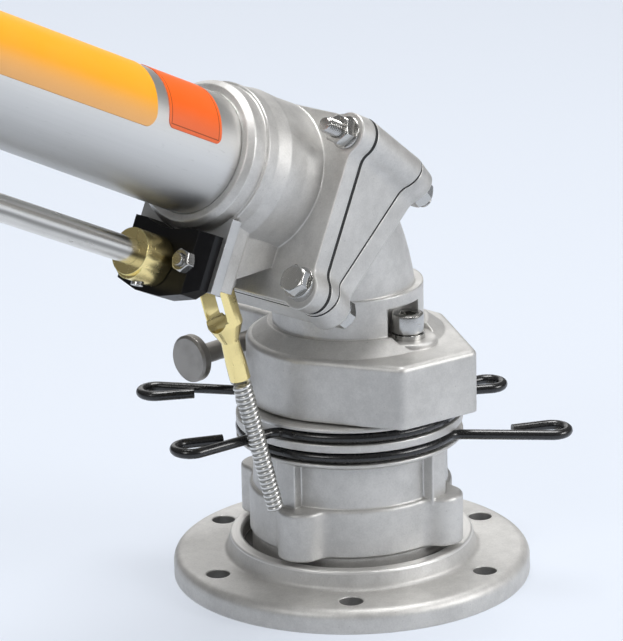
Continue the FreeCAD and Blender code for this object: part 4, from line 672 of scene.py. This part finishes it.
def fastener_tree():
    """Tree that sets one fastener on every point, along the point's heading."""
    tree, given, end = new_tree("Fasteners on seats", (
        ("Fastener", "NodeSocketObject"), ("Material", "NodeSocketMaterial")))
    heading = joined(tree, "GeometryNodeInputNamedAttribute", {"data_type": "FLOAT_VECTOR"},
                     Name="heading")
    spin = joined(tree, "GeometryNodeInputNamedAttribute", {"data_type": "FLOAT"}, Name="spin")
    master = joined(tree, "GeometryNodeObjectInfo", {"transform_space": "ORIGINAL"},
                    Object=given.outputs["Fastener"])
    align = joined(tree, "FunctionNodeAlignRotationToVector", {"axis": "Z"},
                   Vector=heading.outputs["Attribute"])
    turn = joined(tree, "FunctionNodeAxisAngleToRotation", Axis=(0, 0, 1), Angle=spin.outputs["Attribute"])
    both = joined(tree, "FunctionNodeRotateRotation", {"rotation_space": "LOCAL"},
                  Rotation=align.outputs[0], Rotate_By=turn.outputs[0])
    points = joined(tree, "GeometryNodeMeshToPoints", Mesh=given.outputs["Geometry"])
    copies = joined(tree, "GeometryNodeInstanceOnPoints", Points=points.outputs[0],
                    Instance=master.outputs["Geometry"], Rotation=both.outputs[0])
    close_tree(tree, given, end, copies)
    return tree


def wire_tree():
    """Tree that sweeps a round wire along a curve."""
    tree, given, end = new_tree("Round wire", (
        ("Wire Radius", "NodeSocketFloat"), ("Sides", "NodeSocketInt"),
        ("Material", "NodeSocketMaterial")))
    circle = joined(tree, "GeometryNodeCurvePrimitiveCircle", Resolution=given.outputs["Sides"],
                    Radius=given.outputs["Wire Radius"])
    swept = joined(tree, "GeometryNodeCurveToMesh", Curve=given.outputs["Geometry"],
                   Profile_Curve=circle.outputs["Curve"])
    swept.inputs["Fill Caps"].default_value = True
    smooth = joined(tree, "GeometryNodeSetShadeSmooth", Geometry=swept.outputs[0])
    close_tree(tree, given, end, smooth)
    return tree


def baked(name, source, tree, values, matrix=None):
    """Run a tree on an object and keep the result as a plain mesh object."""
    modifier = source.modifiers.new("Tree", "NODES")
    modifier.node_group = tree
    for item in tree.interface.items_tree:
        if item.in_out == "INPUT" and item.name in values:
            modifier[item.identifier] = values[item.name]
    bpy.context.view_layer.update()
    graph = bpy.context.evaluated_depsgraph_get()
    mesh = bpy.data.meshes.new_from_object(source.evaluated_get(graph), preserve_all_data_layers=True,
                                           depsgraph=graph)
    source.modifiers.remove(modifier)
    bpy.data.objects.remove(source)
    if not mesh.polygons:
        raise RuntimeError(name + " came out empty")
    for attribute in [a.name for a in mesh.attributes if a.name in ("heading", "spin")]:
        mesh.attributes.remove(mesh.attributes[attribute])
    mesh.name = name
    if matrix is not None:
        mesh.transform(matrix)
    return new_piece(name, mesh)


def seated(name, master_mesh, seats, material, nodes, body="head"):
    """Copies of one fastener on seats of (point, heading, spin), in place of CAD nodes."""
    cloud = bpy.data.meshes.new(name + "_seats")
    cloud.from_pydata([tuple(point) for point, _, _ in seats], [], [])
    headings = cloud.attributes.new("heading", "FLOAT_VECTOR", "POINT")
    headings.data.foreach_set("vector", [part for _, heading, _ in seats for part in heading])
    spins = cloud.attributes.new("spin", "FLOAT", "POINT")
    spins.data.foreach_set("value", [spin for _, _, spin in seats])
    master = new_piece(name + "_master", master_mesh, material)
    source = new_piece(name + "_points", cloud)
    piece = baked(name, source, tools["fasteners"], {"Fastener": master, "Material": material})
    bpy.data.objects.remove(master)
    piece.data.set_sharp_from_angle(angle=SHARP_ANGLE)
    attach(piece, body)
    if nodes:
        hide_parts(*nodes)
    return piece


def stud_seats():
    """Seats of the four studs at the flanges' upper corners, as (point, heading), upper pair first."""
    seats = []
    for matrix, offset, sign in ((upper_face, UPPER_OFFSET, 1), (lower_face, -LOWER_OFFSET, -1)):
        for side in (1, -1):
            point = matrix @ (Vector((offset, side * BOLT_HALF_WIDTH, BOLT_HALF_HEIGHT)) * MM)
            seats.append((point, heading_of(matrix, sign)))
    return seats


def toe_bolts():
    """Centre, heading and reach above and below of the bolts at the wedge's toe."""
    top = upper_face @ (Vector((0, 0, -BOLT_HALF_HEIGHT)) * MM)
    low = lower_face @ (Vector((0, 0, -BOLT_HALF_HEIGHT)) * MM)
    middle = (top + low) / 2
    tilt = math.radians((BARREL_TILT + SEAT_TILT) / 2)
    along = Vector((math.cos(tilt), 0, math.sin(tilt)))
    washer, clear = 8.0 * MM, 1.0 * MM
    slope = washer * math.tan(math.radians((SEAT_TILT - BARREL_TILT) / 2)) + clear
    reaches = []
    for matrix, offset in ((upper_face, UPPER_OFFSET), (lower_face, -LOWER_OFFSET)):
        normal = heading_of(matrix)
        point = matrix @ (Vector((offset, 0, 0)) * MM)
        reaches.append((point - middle).dot(normal) / along.dot(normal))
    return middle, along, reaches[0] + slope, slope - reaches[1]


# Operators

class RAINGUN_OT_finishes(bpy.types.Operator):
    """Give every carried-over piece its finish"""
    bl_idname = "rain_gun.finishes"
    bl_label = "Finishes"

    def execute(self, context):
        s = context.scene.rain_gun_finishes
        vertical = Matrix.Rotation(math.radians(-90), 4, "Y")
        materials.update({
            "casting": cast_finish("cast_aluminium", s.casting, s.grain, s.edge),
            # The flange's last tuple places its painted shade: the recess inside the collar and the six
            # bolt holes.
            "flange": cast_finish("cast_flange", scaled(s.casting, 1.06), s.grain, s.edge,
                                  ((0.0196, 0.0218, 0.0006),), (0.0548, 0.0200, 0.0764, 43.7), 0.48),
            # The last tuples of the tube and the rod place their painted bands: shade under the tube, a
            # dark reflection line along the rod.
            "tube": drawn_finish("drawn_tube", scaled(s.tube, 1.12), barrel_line, TUBE_RADIUS * MM,
                                 (-0.95, 0.1, -3.0, 0.45)),
            "plate": milled_finish("milled_plate", s.plate),
            "rod": drawn_finish("ground_rod", s.rod, rod_line, ROD_RADIUS * MM,
                                (-0.38, -0.08, -0.75, 0.85), 0.17, 0.35),
            "steel": turned_finish("bright_fasteners", s.steel, barrel_line, 0.17, 0.0005, 0.18),
            "spring": turned_finish("spring_wire", scaled(s.steel, 1.3), trip_line, 0.28, 0.0009, 0.06),
            "pin": milled_finish("rivet_aluminium", s.plate),
            "brass": turned_finish("turned_brass", s.brass, rod_line, 0.19, 0.0005, 0.05),
            "clevis": turned_finish("turned_brass_clevis", s.brass, trip_line @ vertical,
                                    0.15, 0.0005, 0.05),
            "knob": turned_finish("dull_plated_knob", s.knob, Matrix(), 0.34, 0.0007, 0.40),
            "black_wire": coated_finish("coated_wire", s.wire, 0.24),
            "black_plastic": coated_finish("black_block", s.block, 0.30, 0.0010, 0.03, 0.25, 0.25),
            "weight": coated_finish("coated_iron", s.weight, 0.45, 0.0022, 0.1, 0.4),
            "grey_plastic": moulded_finish("grey_moulding", s.moulding),
            "rubber": moulded_finish("black_rubber", s.gasket, 0.62),
            # The last number of each film is the strength of its painted highlight.
            "orange_film": film_finish("orange_film", s.orange, 120.0, 155.5, -4.0, 81.0,
                                       1.8 * MM, 0.10),
            "yellow_film": film_finish("yellow_film", s.yellow, 163.5, 300.0, -2.0, 88.0, 0.0, 0.36),
        })
        special = {"base_flange": "flange", "shift_rod": "rod", "clevis": "clevis", "clevis_pin": "pin"}
        for part in frame["record"]["subparts"]:
            node = part["node"]
            chosen = materials[special.get(node, part["material_slot"])]
            target = frame["nodes"][node]
            target.data.materials.clear()
            target.data.materials.append(chosen)
            for face in target.data.polygons:
                face.material_index = 0
        return {"FINISHED"}


class RAINGUN_OT_spring(bpy.types.Operator):
    """Wind the trip spring as one wire"""
    bl_idname = "rain_gun.spring"
    bl_label = "Trip spring"

    def execute(self, context):
        s = context.scene.rain_gun_spring
        top = -SPRING_DROP * MM - 2 * s.wire_radius - 0.1 * MM
        around, lead_in = 32, 4.0 * MM

        def point(turns):
            share = turns / s.turns
            radius = s.top_radius + (s.bottom_radius - s.top_radius) * share
            angle = math.radians(-90.0 - 360.0 * turns)
            return Vector((radius * math.cos(angle), radius * math.sin(angle), top - s.pitch * turns))

        first = point(0)
        heading = (point(1e-4) - point(-1e-4)).normalized()
        rise = (Vector((0, 0, 1)) - heading * heading.z).normalized()
        bend = 2 * s.wire_radius
        level = Vector((heading.x, heading.y, 0)).normalized()
        centre = first + rise * bend
        start = centre - level * bend
        line = [start + Vector((0, 0, lead_in))]
        for k in range(9):
            swing = k / 8 * math.pi / 2
            line.append(centre - level * bend * math.cos(swing) - rise * bend * math.sin(swing))
        line += [point(k / around) for k in range(1, around * s.turns + 1)]
        curve = bpy.data.curves.new("trip_spring_line", "CURVE")
        curve.dimensions = "3D"
        spline = curve.splines.new("POLY")
        spline.points.add(len(line) - 1)
        for target, place in zip(spline.points, line):
            target.co = (*place, 1.0)
        source = bpy.data.objects.new("trip_spring_line", curve)
        context.scene.collection.objects.link(source)
        values = {"Wire Radius": s.wire_radius, "Sides": 14, "Material": materials["spring"]}
        piece = baked("wound_trip_spring", source, wire_tree(), values, trip_line)
        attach(piece, "trip")
        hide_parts("trip_spring")
        return {"FINISHED"}


class RAINGUN_OT_flange_fasteners(bpy.types.Operator):
    """Studs, nuts and washers of the flanges"""
    bl_idname = "rain_gun.flange_fasteners"
    bl_label = "Flange fasteners"

    def execute(self, context):
        s = context.scene.rain_gun_fasteners
        steel = materials["steel"]
        seats = stud_seats()
        turns = (0.35, 0.10, 0.55, 0.80)
        washer = washer_mesh("flat_washer", s.washer_radius, s.stud_radius * 1.06, s.washer_thickness)
        flat = [(p, h, 0.0) for p, h in seats]
        seated("flange_washers_dressed", washer, flat, steel, ["flange_washers"])
        nut = nut_mesh("flange_nut", s.flats, s.nut_height, s.stud_radius * 0.99)
        raised = [(p + h * s.washer_thickness, h, turn) for (p, h), turn in zip(seats, turns)]
        seated("flange_nuts_dressed", nut, raised, steel, ["flange_nuts"])
        sunk = 2.0 * MM
        full = s.washer_thickness + s.nut_height
        for label, pair, tip in (("upper", seats[:2], s.stud_tip), ("lower", seats[2:], s.stud_tip / 2)):
            stud = stud_mesh("stud_" + label, s.stud_radius, full + tip + sunk, s.thread_pitch)
            nodes = ["flange_studs"] if label == "upper" else []
            lowered = [(p - h * sunk, h, 0.0) for p, h in pair]
            seated("flange_studs_" + label, stud, lowered, steel, nodes)
        return {"FINISHED"}


class RAINGUN_OT_toe_fasteners(bpy.types.Operator):
    """Bolts and nuts at the toe of the wedge"""
    bl_idname = "rain_gun.toe_fasteners"
    bl_label = "Toe bolts"

    def execute(self, context):
        s = context.scene.rain_gun_fasteners
        steel = materials["steel"]
        middle, along, above, below = toe_bolts()
        sides = [middle + Vector((0, side * BOLT_HALF_WIDTH * MM, 0)) for side in (1, -1)]
        sunk = 1.0 * MM
        head = hex_head_mesh("bolt_head", s.flats, s.nut_height - sunk)
        tops = [(p + along * above, along, 0.25) for p in sides]
        seated("toe_bolt_heads", head, tops, steel, ["through_bolts"])
        nut = nut_mesh("toe_nut", s.flats, s.nut_height, s.stud_radius * 0.99)
        bottoms = [(p - along * below, -along, 0.45) for p in sides]
        seated("toe_nuts_dressed", nut, bottoms, steel, ["through_nuts"])
        length = above + below + s.nut_height + 2 * sunk
        shank = stud_mesh("toe_shank", s.stud_radius, length, s.thread_pitch)
        starts = [(p + along * (above + sunk), -along, 0.0) for p in sides]
        seated("toe_bolt_shanks", shank, starts, steel, [])
        return {"FINISHED"}


class RAINGUN_OT_head_screws(bpy.types.Operator):
    """Socket head screws of the turret head"""
    bl_idname = "rain_gun.head_screws"
    bl_label = "Head screws"

    def execute(self, context):
        screw = cap_screw_mesh("cap_screw", radius=8.0 * MM, height=10.0 * MM, key=8.0 * MM,
                               shank=4.97 * MM, length=18.0 * MM)
        seats = []
        for side in (1, -1):
            angle = math.radians(HEAD_SCREW_TURN) * side
            point = Vector((HEAD_SCREW_CIRCLE * math.cos(angle), HEAD_SCREW_CIRCLE * math.sin(angle),
                            HEAD_SCREW_SEAT)) * MM
            seats.append((point, Vector((0, 0, 1)), 0.5 * side))
        seated("head_screws_dressed", screw, seats, materials["steel"], ["head_screws"])
        return {"FINISHED"}


class RAINGUN_OT_block_nuts(bpy.types.Operator):
    """Nuts and stud ends on the bearing block"""
    bl_idname = "rain_gun.block_nuts"
    bl_label = "Block nuts"

    def execute(self, context):
        steel = materials["steel"]
        way = heading_of(barrel_line)
        seats = [barrel_line @ (Vector((BLOCK_FRONT, side * BLOCK_BOLT_OFFSET, -BLOCK_BOLT_DROP)) * MM)
                 for side in (1, -1)]
        nut = nut_mesh("block_nut", flats=10.0 * MM, height=5.0 * MM, bore=2.97 * MM)
        seated("block_nuts_dressed", nut, [(p, way, 0.3) for p in seats], steel, ["block_nuts"])
        stud = stud_mesh("block_stud", radius=2.98 * MM, length=8.4 * MM, pitch=1.0 * MM)
        sunk = 2.0 * MM
        seated("block_stud_ends", stud, [(p - way * sunk, way, 0.0) for p in seats], steel, [])
        return {"FINISHED"}


class RAINGUN_OT_stage(bpy.types.Operator):
    """Floor, lamps, room light and camera"""
    bl_idname = "rain_gun.stage"
    bl_label = "Studio"

    def execute(self, context):
        s = context.scene.rain_gun_stage
        scene = context.scene
        half = s.floor_size / 2
        mesh = bpy.data.meshes.new("floor")
        corners = [(-half, -half, 0), (half, -half, 0), (half, half, 0), (-half, half, 0)]
        mesh.from_pydata(corners, [], [(0, 1, 2, 3)])
        material, g = finish("pale_floor")
        seen = g.maths("MAXIMUM", g.node("ShaderNodeLightPath", out="Is Camera Ray"),
                       g.node("ShaderNodeLightPath", out="Is Glossy Ray"))
        haze = g.noise(g.place(), 0.8, 2.0, 0.5)
        tone = g.blend(haze, scaled(s.backdrop, 0.985), scaled(s.backdrop, 1.01))
        matt = g.node("ShaderNodeBsdfDiffuse", values={"Color": g.blend(seen, (0.40, 0.40, 0.40), tone)})
        glow = g.node("ShaderNodeEmission", values={"Color": tone, "Strength": 1.0})
        mixed = g.node("ShaderNodeMixShader", values={0: seen * 0.66, 1: matt, 2: glow})
        g.node("ShaderNodeOutputMaterial", values={"Surface": mixed})
        floor = new_piece("floor", mesh, material)
        self.light(scene, s)
        self.camera(scene, s)
        scene.view_settings.view_transform = "Standard"
        return {"FINISHED"}

    def light(self, scene, s):
        """Room light and soft lamps."""
        world = bpy.data.worlds.new("studio")
        scene.world = world
        g = Graph(world)
        direction = g.node("ShaderNodeTexCoord", out="Generated")
        _, _, up = g.parts(direction)
        room = g.blend(g.step(up, 0.02, 0.75), (0.50, 0.50, 0.505), (1.0, 1.0, 0.99))
        base = g.node("ShaderNodeBackground", values={"Color": room, "Strength": s.world_strength})
        shown = g.node("ShaderNodeBackground", values={"Color": s.backdrop, "Strength": 1.0})
        seen = g.node("ShaderNodeLightPath", out="Is Camera Ray")
        mixed = g.node("ShaderNodeMixShader", values={0: seen, 1: base, 2: shown})
        g.node("ShaderNodeOutputWorld", values={"Surface": mixed})
        middle = Vector((0.05, 0, 0.16))
        lamps = (
            ("key", (-0.9, 2.0, 1.1), 1.1, 27.0),
            ("left", (2.1, 0.4, 1.6), 0.8, 11.0),
            ("top", (-0.3, -0.1, 2.2), 1.2, 42.0),
            ("back", (-1.3, -1.9, 1.05), 1.7, 6.5),
        )
        for name, place, size, power in lamps:
            data = bpy.data.lights.new(name, "AREA")
            data.shape = "RECTANGLE"
            data.size = size
            data.size_y = size * 0.7
            data.energy = power
            lamp = bpy.data.objects.new(name, data)
            lamp.location = place
            lamp.rotation_mode = "QUATERNION"
            lamp.rotation_quaternion = (middle - Vector(place)).to_track_quat("-Z", "Y")
            scene.collection.objects.link(lamp)

    def camera(self, scene, s):
        """Camera at the photograph's angle, rolled a little and aimed beside the gun's axis."""
        turn, lift, roll = 0.789415, 0.304480, math.radians(-1.13)
        height, aside, higher, distance = 0.120, -0.01807, 0.01067, 1.78208
        back = Vector((math.sin(turn) * math.cos(lift), math.cos(turn) * math.cos(lift), math.sin(lift)))
        right = Vector((-math.cos(turn), math.sin(turn), 0))
        up = back.cross(right)
        target = Vector((0, 0, height)) + aside * right + higher * up
        place = target + back * distance
        across = right * math.cos(roll) + up * math.sin(roll)
        above = up * math.cos(roll) - right * math.sin(roll)
        data = bpy.data.cameras.new("studio_camera")
        data.lens = s.lens
        data.sensor_fit = "VERTICAL"
        data.sensor_height = 36.0
        data.clip_start = 0.01
        data.clip_end = 100.0
        camera = bpy.data.objects.new("studio_camera", data)
        matrix = Matrix((across, above, back)).transposed().to_4x4()
        camera.matrix_world = Matrix.Translation(place) @ matrix
        scene.collection.objects.link(camera)
        scene.camera = camera


OPERATORS = (RAINGUN_OT_finishes, RAINGUN_OT_spring, RAINGUN_OT_flange_fasteners, RAINGUN_OT_toe_fasteners,
             RAINGUN_OT_head_screws, RAINGUN_OT_block_nuts, RAINGUN_OT_stage)


class RAINGUN_PT_panel(bpy.types.Panel):
    """Lists the sizes, colours and steps of the rain gun"""
    bl_idname = "RAINGUN_PT_panel"
    bl_label = "Rain gun"
    bl_space_type = "VIEW_3D"
    bl_region_type = "UI"
    bl_category = "Rain gun"

    def draw(self, context):
        for operator in OPERATORS:
            self.layout.operator(operator.bl_idname)
        for name in GROUPS:
            settings = getattr(context.scene, name)
            box = self.layout.box()
            for key in settings.bl_rna.properties.keys():
                if key not in ("rna_type", "name"):
                    box.prop(settings, key)


GROUPS = {
    "rain_gun_finishes": RainGunFinishes,
    "rain_gun_spring": RainGunSpring,
    "rain_gun_fasteners": RainGunFasteners,
    "rain_gun_stage": RainGunStage,
}


def register():
    """Register the settings, operators and the panel."""
    for name, group in GROUPS.items():
        bpy.utils.register_class(group)
        setattr(bpy.types.Scene, name, PointerProperty(type=group))
    for cls in OPERATORS + (RAINGUN_PT_panel,):
        bpy.utils.register_class(cls)


def unregister():
    """Take everything back."""
    for cls in (RAINGUN_PT_panel,) + OPERATORS[::-1]:
        bpy.utils.unregister_class(cls)
    for name, group in GROUPS.items():
        delattr(bpy.types.Scene, name)
        bpy.utils.unregister_class(group)


def main():
    """Dress the gun."""
    register()
    tools["fasteners"] = fastener_tree()
    for operator in OPERATORS:
        group, name = operator.bl_idname.split(".")
        getattr(getattr(bpy.ops, group), name)()


if __name__ == "__main__":
    main()
